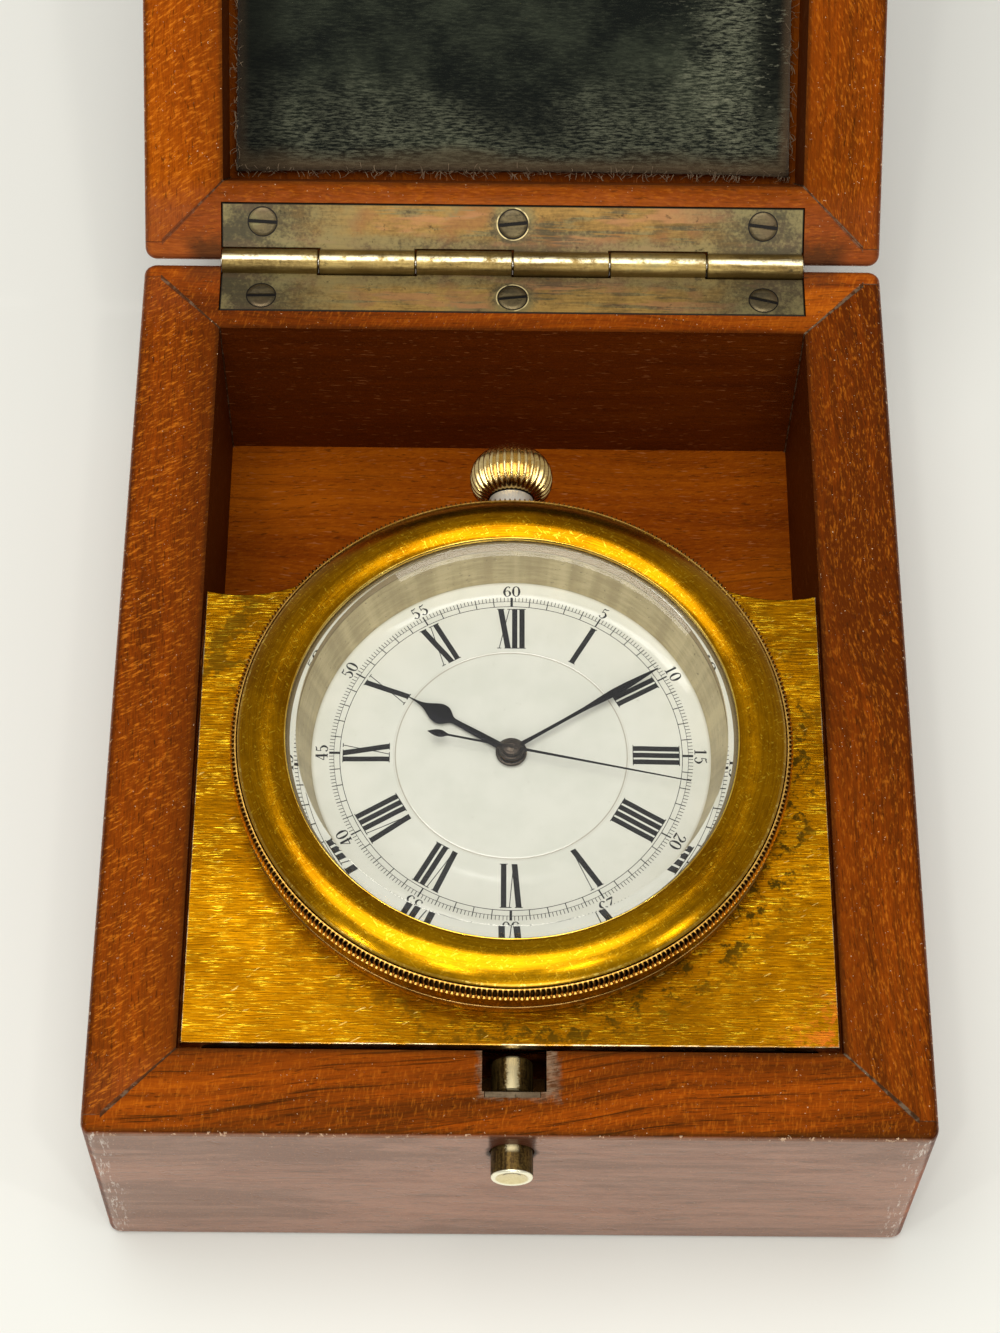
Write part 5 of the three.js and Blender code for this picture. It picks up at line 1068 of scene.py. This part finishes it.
# Pendant and fluted crown
crownForm = {'front': 31.55, 'length': 8.3, 'radius': 5.95, 'z': 30.5, 'flutes': 34, 'depth': 0.085,
             'along': [0, 0.03, 0.1, 0.22, 0.36, 0.5, 0.64, 0.78, 0.88, 0.95, 1.0],
             'shares': [0.56, 0.7, 0.84, 0.95, 1.0, 1.0, 0.955, 0.83, 0.66, 0.5, 0.3]}
neckForm = [[1.7, 19.0], [3.7, 19.0], [3.7, 21.4], [3.22, 22.4], [3.2, 31.44], [1.7, 31.44]]

def makeCrown():
    form = crownForm
    t = np.linspace(0, 1, 40)
    # onion outline from smooth shares of the radius along the crown
    shares = np.interp(t, form['along'], form['shares'])
    for _ in range(3):
        shares[1:-1] = (shares[:-2] + 2 * shares[1:-1] + shares[2:]) / 4
    end = form['front'] + form['length']
    profile = np.stack([shares * form['radius'], form['front'] + t * form['length']], 1)
    profile = np.concatenate([[[0, form['front'] + 0.1]], profile, [[0.8, end + 0.02], [0, end]]])
    # flutes: the radius falls by depth * reach * (0.5 - 0.5 cos(flutes a))^1.6, and reach fades out at
    # both ends of the crown
    def flute(a, row):
        reach = np.clip(np.minimum(row + 0.02, 0.93 - row) / 0.08, 0, 1)
        return 1 - form['depth'] * reach * (0.5 - 0.5 * np.cos(a * form['flutes'])) ** 1.6
    crown = turnedPiece('fluted_crown', profile, (0, 0, form['z']), 'y', columns=form['flutes'] * 10,
                        closed=False, ripple=flute)
    dressed(smoothEdges(crown, 60), 'crown', 'gold', metals['crown'], 'crown')
    pendant = turnedPiece('pendant_neck', softened(neckForm, 0.12), (0, 0, form['z']), 'y', columns=72)
    dressed(smoothEdges(pendant, 50), 'box_base', 'steel', metals['neck'], 'pendant')

makeCrown()
print("crown fluted")


# Hinge, screws and catch
def slab(heap, x0, x1, y0, y1, z0, z1, bevel=0.12):
    # a box with its upper and lower edges chamfered: four rings, drawn in at the two ends
    def ring(inset, z):
        near, far, left, right = y0 + inset, y1 - inset, x0 + inset, x1 - inset
        return [[left, near, z], [right, near, z], [right, far, z], [left, far, z]]
    heap.add(*prismRings([ring(bevel, z0), ring(0, z0 + bevel), ring(0, z1 - bevel), ring(bevel, z1)]))

pinForm = [[0, -42.9], [0.6, -42.9], [0.8, -42.75], [0.8, 42.75], [0.6, 42.9], [0, 42.9]]
knuckleForm = {'gap': 0.09, 'sides': 48, 'rings': ((0, 0.22), (0.12, 0.04), (0.5, 0))}

def makeHinge():
    # each leaf is a plate with every second knuckle, and each knuckle's rings are drawn in at its ends
    axisY, axisZ, knuckle, gap = hinge['y'], hinge['z'], hinge['knuckle'], knuckleForm['gap']
    length = 2 * hinge['half'] / hinge['count']
    a = np.arange(knuckleForm['sides']) * 2 * math.pi / knuckleForm['sides']
    for side, body, node in ((-1, 'box_base', 'base_hinge_leaf'), (1, 'lid', 'lid_hinge_leaf')):
        heap, barrels = Heap(), Heap()
        near, far = axisZ + side * hinge['face'], axisZ + side * (hinge['face'] + hinge['thick'])
        low, high = min(near, far), max(near, far)
        slab(heap, -hinge['half'], hinge['half'], hinge['leafFront'], axisY - knuckle - 0.12, low, high)
        for i in range(0 if side < 0 else 1, hinge['count'], 2):
            x0, x1 = -hinge['half'] + i * length + gap, -hinge['half'] + (i + 1) * length - gap
            slab(heap, x0 + 0.1, x1 - 0.1, axisY - knuckle - 0.3, axisY - 0.6, low, high, 0.05)
            ends = [(x0 + along, knuckle - drawn) for along, drawn in knuckleForm['rings']]
            ends += [(x1 - along, knuckle - drawn) for along, drawn in reversed(knuckleForm['rings'])]
            rings = [np.stack([x + 0 * a, axisY + r * np.cos(a), axisZ + r * np.sin(a)], 1) for x, r in ends]
            barrels.add(*prismRings(rings))
            if side > 0:
                # a wedge under the knuckle is the tail that stops the open lid on the base
                rest = math.pi + math.asin(0.1 / hinge['tail']) - math.radians(hinge['open'])
                tipY, tipZ = hinge['tail'] * math.sin(rest), hinge['tail'] * math.cos(rest)
                wedge = [[(x, axisY, axisZ), (x, axisY, axisZ + tipZ), (x, axisY + tipY, axisZ + tipZ)]
                         for x in (x0 + 0.1, x1 - 0.1)]
                heap.add(*prismRings(wedge))
        hang = lidHang if side > 0 else None
        leaf = heap.piece(node.replace('_leaf', '_plate'), hang=hang)
        dressed(leaf, body, 'old_brass', metals['leafLid' if side > 0 else 'leafBase'], node)
        barrel = barrels.piece(node.replace('_leaf', '_knuckles'), smooth=True, hang=hang)
        dressed(smoothEdges(barrel, 40), body, 'old_brass', metals['barrel'])
    pin = turnedPiece('pin_steel', pinForm, (0, axisY, axisZ), 'x', columns=24, closed=False)
    dressed(smoothEdges(pin, 50), 'box_base', 'steel', metals['steel'], 'hinge_pin')

screwForm = {'radius': 2.05, 'slot': 0.23, 'deep': 0.42, 'countersunk': 1.1, 'core': 0.95, 'end': 5.4,
             'tip': 6.9, 'tipRadius': 0.2}

def screwHead(name, x, y, z, side, turn, scale=1.0, hang=None):
    # two D-shaped halves stand on a disc, so that the slot between them is real
    heap = Heap()
    r, half, deep = screwForm['radius'] * scale, screwForm['slot'] * scale, screwForm['deep'] * scale
    edge = math.acos(half / r)
    a = np.linspace(-edge, edge, 22)
    c, s = math.cos(turn), math.sin(turn)
    def placed(u, v, h):
        return np.stack([x + u * c - v * s, y + u * s + v * c, z + side * h + 0 * u], 1)
    for flip in (1, -1):
        rings = []
        for inset, h in ((0.0, deep), (0.0, -0.01), (0.1 * scale, -0.09), (0.55 * scale, -0.13)):
            ring = r - inset
            u = np.maximum(ring * np.cos(a), half + inset * 0.35)
            rings.append(placed(flip * u, flip * ring * np.sin(a), h))
        heap.add(*prismRings(rings))
    # the disc goes over into a countersunk cone, a round core and a point
    shank, b = Heap(), np.linspace(0, 2 * math.pi, 41)[:-1]
    core = screwForm['core'] * scale
    profile = ((r, deep), (r, deep + 0.2), (core, screwForm['countersunk'] * scale),
               (core, screwForm['end'] * scale), (screwForm['tipRadius'] * scale, screwForm['tip'] * scale))
    shank.add(*prismRings([placed(q * np.cos(b), q * np.sin(b), h) for q, h in profile]))
    return heap.piece(name, hang=hang), shank.piece(name + '_shank', hang=hang)

# how far each slot is turned, in radians, from left to right
screwTurns = {'base': (0.02, 0.12, -0.25), 'lid': (0.05, -0.1, 0.12), 'striker': (0.5, -0.3)}
strikerScrews = {'left': -4.7, 'right': 5.3, 'y': -61.3, 'scale': 0.62}

def makeScrews():
    def fit(name, body, node, *where):
        head, shank = screwHead(name, *where)
        dressed(smoothEdges(head, 35), body, 'old_brass', metals['screw'], node)
        # the disc under the slot and the shank take a dark finish, a painted shade in the slots
        dressed(smoothEdges(shank, 35), body, 'old_brass', metals['slot'])
    for k, (name, x) in enumerate(zip(('left', 'middle', 'right'), hinge['screwX'])):
        fit('base_screw_' + name, 'box_base', 'base_hinge_screw_' + name, x, hinge['screwY'], box['rim'], -1,
            math.pi / 2 + screwTurns['base'][k])
        fit('lid_screw_' + name, 'lid', 'lid_hinge_screw_' + name, x, hinge['screwY'], box['rim'] + 0.3, 1,
            math.pi / 2 + screwTurns['lid'][k], 1.0, lidHang)
    for k, name in enumerate(('left', 'right')):
        fit('catch_screw_' + name, 'lid', 'striker_screw_' + name, strikerScrews[name], strikerScrews['y'],
            box['rim'] + 0.3, 1, screwTurns['striker'][k], strikerScrews['scale'], lidHang)

buttonForm = {'front': -71.1, 'shoulder': -66.3, 'knobStart': -60.1, 'knobEnd': -55.0, 'radius': 2.7,
              'neck': 1.7, 'dome': 0.8}

def makeButton():
    # a dished end, the shank, a thin neck through the guide plate, and a knob with a domed end
    form = buttonForm
    front, shoulder, radius = form['front'], form['shoulder'], form['radius']
    knob, end = form['knobStart'], form['knobEnd']
    t = np.linspace(0, math.pi / 2, 9)
    dome = np.stack([radius * np.cos(t), end - form['dome'] + form['dome'] * np.sin(t)], 1)
    dish = [[0, front + 0.55], [1.2, front + 0.45], [1.95, front + 0.16], [2.2, front + 0.02], [2.45, front],
            [2.62, front + 0.1], [radius, front + 0.26]]
    rest = [[radius, shoulder - 0.15], [2.55, shoulder], [form['neck'], shoulder], [form['neck'], knob],
            [2.5, knob], [radius, knob + 0.2]]
    pit = [[0.55, end - 0.02], [0.35, end - 0.3], [0, end - 0.35]]
    profile = np.concatenate([dish, rest, dome[:-2], pit])
    middle = (notch['holeX'], 0, notch['holeZ'])
    button = turnedPiece('brass_button', profile, middle, 'y', columns=72, closed=False)
    dressed(smoothEdges(button, 40), 'button', 'brass', metals['button'], 'push_button')

makeHinge()
makeScrews()
makeButton()
print("hinge and catch fitted")


# Brass plate, cut from an outline with a small chamfer
def makePlate():
    form, cy = plateForm, watch['y']
    r, cx = form['shoulder'], form['x'] - form['run']
    rise = math.sqrt((form['collar'] + r) ** 2 - cx ** 2)
    lean, start = math.atan2(rise, cx), math.acos(form['run'] / r)
    def arc(x, y, r, start, end, count):
        # (x + r cos a, y + r sin a) with a running evenly from start to end
        a = np.linspace(start, end, count)
        return np.stack([x + r * np.cos(a), y + r * np.sin(a)], 1)
    # each hollow shoulder starts at the corner and runs out along the collar
    outline = np.concatenate([
        [[-form['x'], form['front']], [form['x'], form['front']]],
        arc(cx, cy + rise, r, -start, lean - math.pi, 24),
        arc(0, cy, form['collar'], lean, math.pi - lean, 60)[1:-1],
        arc(-cx, cy + rise, r, -lean, start - math.pi, 24)])
    hole = arc(0, cy, form['hole'], 0, -2 * math.pi, 161)[:-1]
    curve = bpy.data.curves.new('plate_outline', 'CURVE')
    curve.dimensions, curve.fill_mode, curve.bevel_resolution = '2D', 'BOTH', 1
    curve.extrude = (form['thick'] / 2 - form['chamfer']) * mm
    curve.bevel_depth, curve.offset = form['chamfer'] * mm, -form['chamfer'] * mm
    for loop in (outline, hole):
        spline = curve.splines.new('POLY')
        spline.points.add(len(loop) - 1)
        places = np.column_stack([loop * mm, np.zeros(len(loop)), np.ones(len(loop))])
        spline.points.foreach_set('co', places.ravel())
        spline.use_cyclic_u = True
    drawn = added('plate_outline', curve)
    bpy.context.view_layer.update()
    data = bpy.data.meshes.new_from_object(drawn.evaluated_get(bpy.context.evaluated_depsgraph_get()))
    data.transform(Matrix.Translation((0, 0, (form['top'] - form['thick'] / 2) * mm)))
    bpy.data.objects.remove(drawn)
    mended(data, slivers=False)
    return dressed(added('watch_plate', data), 'box_base', 'brass', metals['plate'], 'mounting_plate')

makePlate()
print("plate cut")


# Coil spring of the button, wound from its free end to the guide plate
springForm = {'wire': 0.22, 'coil': 2.2, 'free': -66.2, 'fixed': -62.2, 'turns': 4.5, 'gap': 0.05,
              'travel': 1.6, 'rings': 160, 'sides': 12}

def makeSpring():
    # the wire's middle runs round a circle of radius coil while it moves from the free end to the fixed
    # end, and the wire is round: (coil + wire cos a) outwards and wire sin a along the axis
    form = springForm
    reach = form['wire'] + form['gap']
    t = np.linspace(0, 1, form['rings'])[:, None]
    turn = t * form['turns'] * 2 * math.pi
    a = np.arange(form['sides'])[None, :] * 2 * math.pi / form['sides']
    r = form['coil'] + form['wire'] * np.cos(a)
    y = form['free'] + reach + t * (form['fixed'] - form['free'] - 2 * reach) + form['wire'] * np.sin(a)
    rings = np.stack([notch['holeX'] + r * np.cos(turn), y, notch['holeZ'] + r * np.sin(turn)], -1)
    spring = meshPiece('coil_spring', *prismRings(rings))
    dressed(smoothEdges(spring, 60), 'box_base', 'steel', metals['steel'], 'catch_spring')
    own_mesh(spring)

makeSpring()
print("spring wound")


# Remaining nodes keep their CAD shape and get the finish of their kind
kept = {'catch_guide': 'guide', 'striker': 'striker', 'winding_stem': 'steel', 'movement': 'movement',
        'cannon_pinion': 'steel', 'minute_wheel': 'movement', 'hour_wheel': 'movement'}
for node, metal in kept.items():
    bareNode(node, metals[metal])
print("nodes that keep their shape:", len(boards) + len(kept))


# Velvet lining of the lid
padForm = {'x': 41.4, 'y': 54.9, 'face': 51.3, 'thick': 2.0, 'crown': 0.55, 'edge': 0.35, 'pinchX': 0.012,
           'pinchY': 0.009, 'back': 0.995, 'columns': 84, 'rows': 110, 'cap': 0.35, 'glueDepth': 1.2,
           'heldX': 40.5, 'heldY': 54.0, 'pressure': 4, 'frames': 20}
velvetTints = {
    'deep': tint(17, 21, 18), 'worn': tint(52, 57, 45), 'fuzz': tint(98, 102, 82),
    'rubbed': tint(134, 137, 113), 'dust': tint(52, 38, 25), 'dustPale': tint(140, 116, 88),
    'shade': tint(8, 10, 9), 'wrinkleSheen': tint(150, 150, 126), 'brown': tint(44, 34, 22),
    'brownPale': tint(104, 88, 64)}

def velvet():
    tints = velvetTints
    f = Finish('worn green velvet', roughness=0.95, lid=True)
    edge = f.least(padForm['x'] - abs(f.x), padForm['y'] - abs(f.y))
    nap = f.grain(f.x * 0.7, f.y * 3.6, f.z, 4.0, 0.7)
    fuzz = f.noise(f.place, 7.0, 4.0, 0.75)
    cloud = f.noise(f.place, 0.055, 3.0, 0.6)
    worn = f.step(cloud * 0.7 + nap * 0.3, 0.44, 0.7)
    colour = f.mix(worn, tints['deep'], tints['worn'])
    colour = f.mix(f.step(fuzz * 0.6 + nap * 0.4, 0.5, 0.72) * 0.28, colour, tints['fuzz'])
    # the pile is rubbed pale, with a painted sheen, down the right side and near the hinge, and dusty along
    # the edge
    right = f.band(f.x + (cloud - 0.5) * 20.0, 33.0, 1.5, 6.0)
    low = f.step(f.y + (cloud - 0.5) * 26.0, 40.0, 50.0)
    rubbed = f.most(right, low * 0.7) * f.step(nap * 0.75 + fuzz * 0.25, 0.42, 0.62)
    colour = f.mix(rubbed * 0.55, colour, tints['rubbed'])
    dust = 1 - f.step(edge, 0.2, 1.3 + fuzz * 2.0)
    colour = f.mix(dust * 0.8, colour, f.mix(fuzz, tints['dust'], tints['dustPale']))
    # just inside the edge and down the left side the pile is painted dark, a painted shade
    shade = f.band(edge, 3.2, 0.8, 2.6) * (1 - f.step(f.y, 44.0, 50.0))
    shade = f.most(shade * 0.6, (1 - f.step(f.x + (cloud - 0.5) * 8.0, -37.0, -31.0)) * 0.7)
    colour = f.mix(shade, colour, tints['shade'])
    # pale wrinkles on the right, painted as sheen, and a brown band beside the hinge
    wrinkleSheen = f.step(f.grain(f.x * 0.5 + f.y * 0.25, f.y * 1.6, f.z, 3.0, 0.7), 0.6, 0.66)
    wrinkleSheen = wrinkleSheen * f.step(f.x, 18.0, 34.0)
    colour = f.mix(wrinkleSheen * 0.35, colour, tints['wrinkleSheen'])
    brown = f.step(f.y + (cloud - 0.5) * 6.0, 50.5, 53.5)
    colour = f.mix(brown * 0.6, colour, f.mix(nap, tints['brown'], tints['brownPale']))
    f.set(Base=colour, Sheen=0.12, SheenRoughness=0.4, Specular=0.1)
    f.bump(fuzz * 1.2 + nap * 1.0, 0.6, 0.00022)
    return f.material

def makeLining():
    form, columns, rows = padForm, padForm['columns'], padForm['rows']
    u, v = np.meshgrid(np.linspace(-1, 1, columns), np.linspace(-1, 1, rows), indexing='ij')
    # crown (1 - u^6)(1 - v^6), and sides that draw in a little between the corners:
    # x falls by pinchX (1 - v^2) |u|^5 of itself, and y by pinchY (1 - u^2) |v|^5
    swell = (1 - u ** 6) * (1 - v ** 6)
    x = form['x'] * u * (1 - form['pinchX'] * (1 - v ** 2) * np.abs(u) ** 5)
    y = form['y'] * v * (1 - form['pinchY'] * (1 - u ** 2) * np.abs(v) ** 5)
    # the edge is rounded off over the outer thirtieth
    inward = np.minimum(1, (1 - np.maximum(np.abs(u), np.abs(v))) * 30)
    low = form['face'] - form['thick'] + form['edge'] - form['crown'] * swell - form['edge'] * inward
    front = np.stack([x, y, low], -1).reshape(-1, 3)
    flat = np.full_like(u, form['face'] - 0.08)
    back = np.stack([form['x'] * u * form['back'], form['y'] * v * form['back'], flat], -1).reshape(-1, 3)
    size = front.shape[0]
    faces = gridFaces(columns, rows, False, False) + gridFaces(columns, rows, False, False, size)
    index = np.arange(size).reshape(columns, rows)
    loop = np.concatenate([index[:, 0], index[-1, 1:], index[-2::-1, -1], index[0, -2:0:-1]])
    faces += [[int(a), int(b), int(b) + size, int(a) + size] for a, b in zip(loop, np.roll(loop, -1))]
    pad = meshPiece('velvet_lining', np.concatenate([front, back]), faces, True)
    plump(pad, form)
    pad.data.transform(Matrix.Translation(Vector(lidHang.translation) * mm) @ lidHang.to_3x3().to_4x4())
    return dressed(pad, 'lid', 'velvet', velvet(), 'lid_lining')

def plump(pad, form):
    # a short cloth run under pressure, with back and edges held, then every point's move is capped
    before = np.array([vertex.co[:] for vertex in pad.data.vertices])
    glued = pad.vertex_groups.new(name='glued')
    x, y, z = before.T
    atBack = z > z.max() - form['glueDepth'] * mm
    atEdge = (np.abs(x) > form['heldX'] * mm) | (np.abs(y) > form['heldY'] * mm)
    glued.add(np.nonzero(atBack | atEdge)[0].tolist(), 1.0, 'REPLACE')
    cloth = pad.modifiers.new('cloth', 'CLOTH')
    cloth.settings.use_pressure = True
    cloth.settings.uniform_pressure_force = form['pressure']
    cloth.settings.effector_weights.gravity = 0
    cloth.settings.vertex_group_mass = 'glued'
    cloth.settings.quality = 4
    cloth.point_cache.frame_start, cloth.point_cache.frame_end = 1, form['frames']
    for step in range(1, form['frames'] + 1):
        scene.frame_set(step)
    settled = pad.evaluated_get(bpy.context.evaluated_depsgraph_get())
    after = np.array([vertex.co[:] for vertex in settled.data.vertices])
    pad.modifiers.remove(cloth)
    move = after - before
    length = np.linalg.norm(move, axis=1, keepdims=True)
    move *= np.minimum(1, form['cap'] * mm / np.maximum(length, 1e-9))
    pad.data.vertices.foreach_set('co', (before + move).ravel())
    pad.data.update()
    scene.frame_set(1)
    print("lining plumped, most move mm:", round(float(length.max()) * 1000, 2))

threadForm = {'count': 1500, 'seed': 7, 'thin': 0.05, 'long': (0.5, 1.9), 'lift': 0.5, 'bend': 0.6,
              'inset': 0.2, 'scatter': 0.35, 'farX': 42.3, 'farY': 55.8}
threadTints = {'dark': tint(64, 48, 34), 'pale': tint(168, 146, 116)}

def makeFray():
    # loose threads along the lining's edge: thin three-sided tubes, bent at random from a fixed seed;
    # a thread runs from (x, y) at its heading, which turns by bend * t, and bows down by lift sin(pi t)
    rng = np.random.default_rng(threadForm['seed'])
    count, thin, form = threadForm['count'], threadForm['thin'], padForm
    farX, farY = threadForm['farX'], threadForm['farY']
    a = np.arange(3) * 2 * math.pi / 3
    t = np.linspace(0, 1, 4)
    heap = Heap()
    run = rng.uniform(0, 4, count)
    along = rng.uniform(-1, 1, count)
    out = rng.normal(0, threadForm['scatter'], count)
    for k in range(count):
        # the far, near, right and left edges are side 0, 1, 2 and 3
        side, s = int(run[k]), along[k]
        sign, stray = (-1 if side % 2 else 1), out[k] * 0.5
        if side < 2:
            x, y = s * form['x'], (form['y'] - threadForm['inset'] + stray) * sign
        else:
            x, y = (form['x'] - threadForm['inset'] + stray) * sign, s * form['y']
        heading = rng.uniform(0, 2 * math.pi)
        reach = rng.uniform(*threadForm['long'])
        lift = rng.uniform(0.0, threadForm['lift'])
        bend = rng.normal(0, threadForm['bend'])
        cx = np.clip(x + reach * t * np.cos(heading + bend * t), -farX, farX)[:, None]
        cy = np.clip(y + reach * t * np.sin(heading + bend * t), -farY, farY)[:, None]
        cz = (form['face'] - 1.0 - lift * np.sin(math.pi * t) - rng.uniform(0, 0.7))[:, None]
        rings = np.stack([cx + thin * np.cos(a), cy + thin * np.sin(a) * 0.5, cz + thin * np.sin(a)], -1)
        heap.add(*prismRings(rings))
    fray = heap.piece('lining_threads', hang=lidHang)
    f = Finish('frayed thread', roughness=0.95)
    worn = f.noise(f.place, 0.7, 2.0, 0.6)
    f.set(Base=f.mix(worn, threadTints['dark'], threadTints['pale']))
    f.bump(f.noise(f.place, 9.0, 2.0), 0.3, 0.00003)
    return dressed(fray, 'lid', 'velvet', f.material)

makeLining()
makeFray()
print("lining laid")


# Floor, lamps and world
stageForm = {'half': 3, 'floor': tint(224, 226, 221), 'sky': (1, 0.985, 0.96, 1), 'skyPower': 0.45,
             'lampColour': (1, 0.97, 0.92)}

def makeStage():
    half = stageForm['half']
    data = bpy.data.meshes.new('floor')
    corners = [(-half, -half, 0), (half, -half, 0), (half, half, 0), (-half, half, 0)]
    data.from_pydata(corners, [], [(0, 1, 2, 3)])
    floor = added('floor', data)
    f = Finish('pale satin floor', roughness=0.45)
    f.set(Base=stageForm['floor'], Specular=0.3)
    data.materials.append(f.material)
    world = bpy.data.worlds.new('studio')
    scene.world = world
    world.use_nodes = True
    tree = world.node_tree
    tree.nodes.clear()
    output = tree.nodes.new('ShaderNodeOutputWorld')
    sky = tree.nodes.new('ShaderNodeBackground')
    sky.inputs[0].default_value, sky.inputs[1].default_value = stageForm['sky'], stageForm['skyPower']
    tree.links.new(sky.outputs[0], output.inputs[0])

lamps = {
    'overhead': {'place': (-0.12, -0.02, 1.14), 'size': 0.84, 'power': 7.6},
    'front': {'place': (0.1, -1.0, 0.75), 'size': 0.6, 'power': 2.8},
    'spotNearLeft': {'place': (-0.236, -0.524, 1.1), 'size': 0.06, 'power': 0.9},
    'spotNearRight': {'place': (0.282, -0.472, 1.1), 'size': 0.06, 'power': 0.9},
    'spotFarLeft': {'place': (-0.749, -0.561, 0.917), 'size': 0.06, 'power': 0.9},
    'spotFarRight': {'place': (0.759, -0.429, 0.976), 'size': 0.06, 'power': 0.9},
}

def makeLamps():
    for name, look in lamps.items():
        data = bpy.data.lights.new(name, 'AREA')
        data.shape, data.size, data.energy = 'DISK', look['size'], look['power']
        data.color = stageForm['lampColour']
        lamp = added(name, data)
        lamp.location = look['place']
        lamp.rotation_mode = 'QUATERNION'
        lamp.rotation_quaternion = (-Vector(look['place'])).to_track_quat('-Z', 'Y')

makeStage()
makeLamps()
print("stage lit")
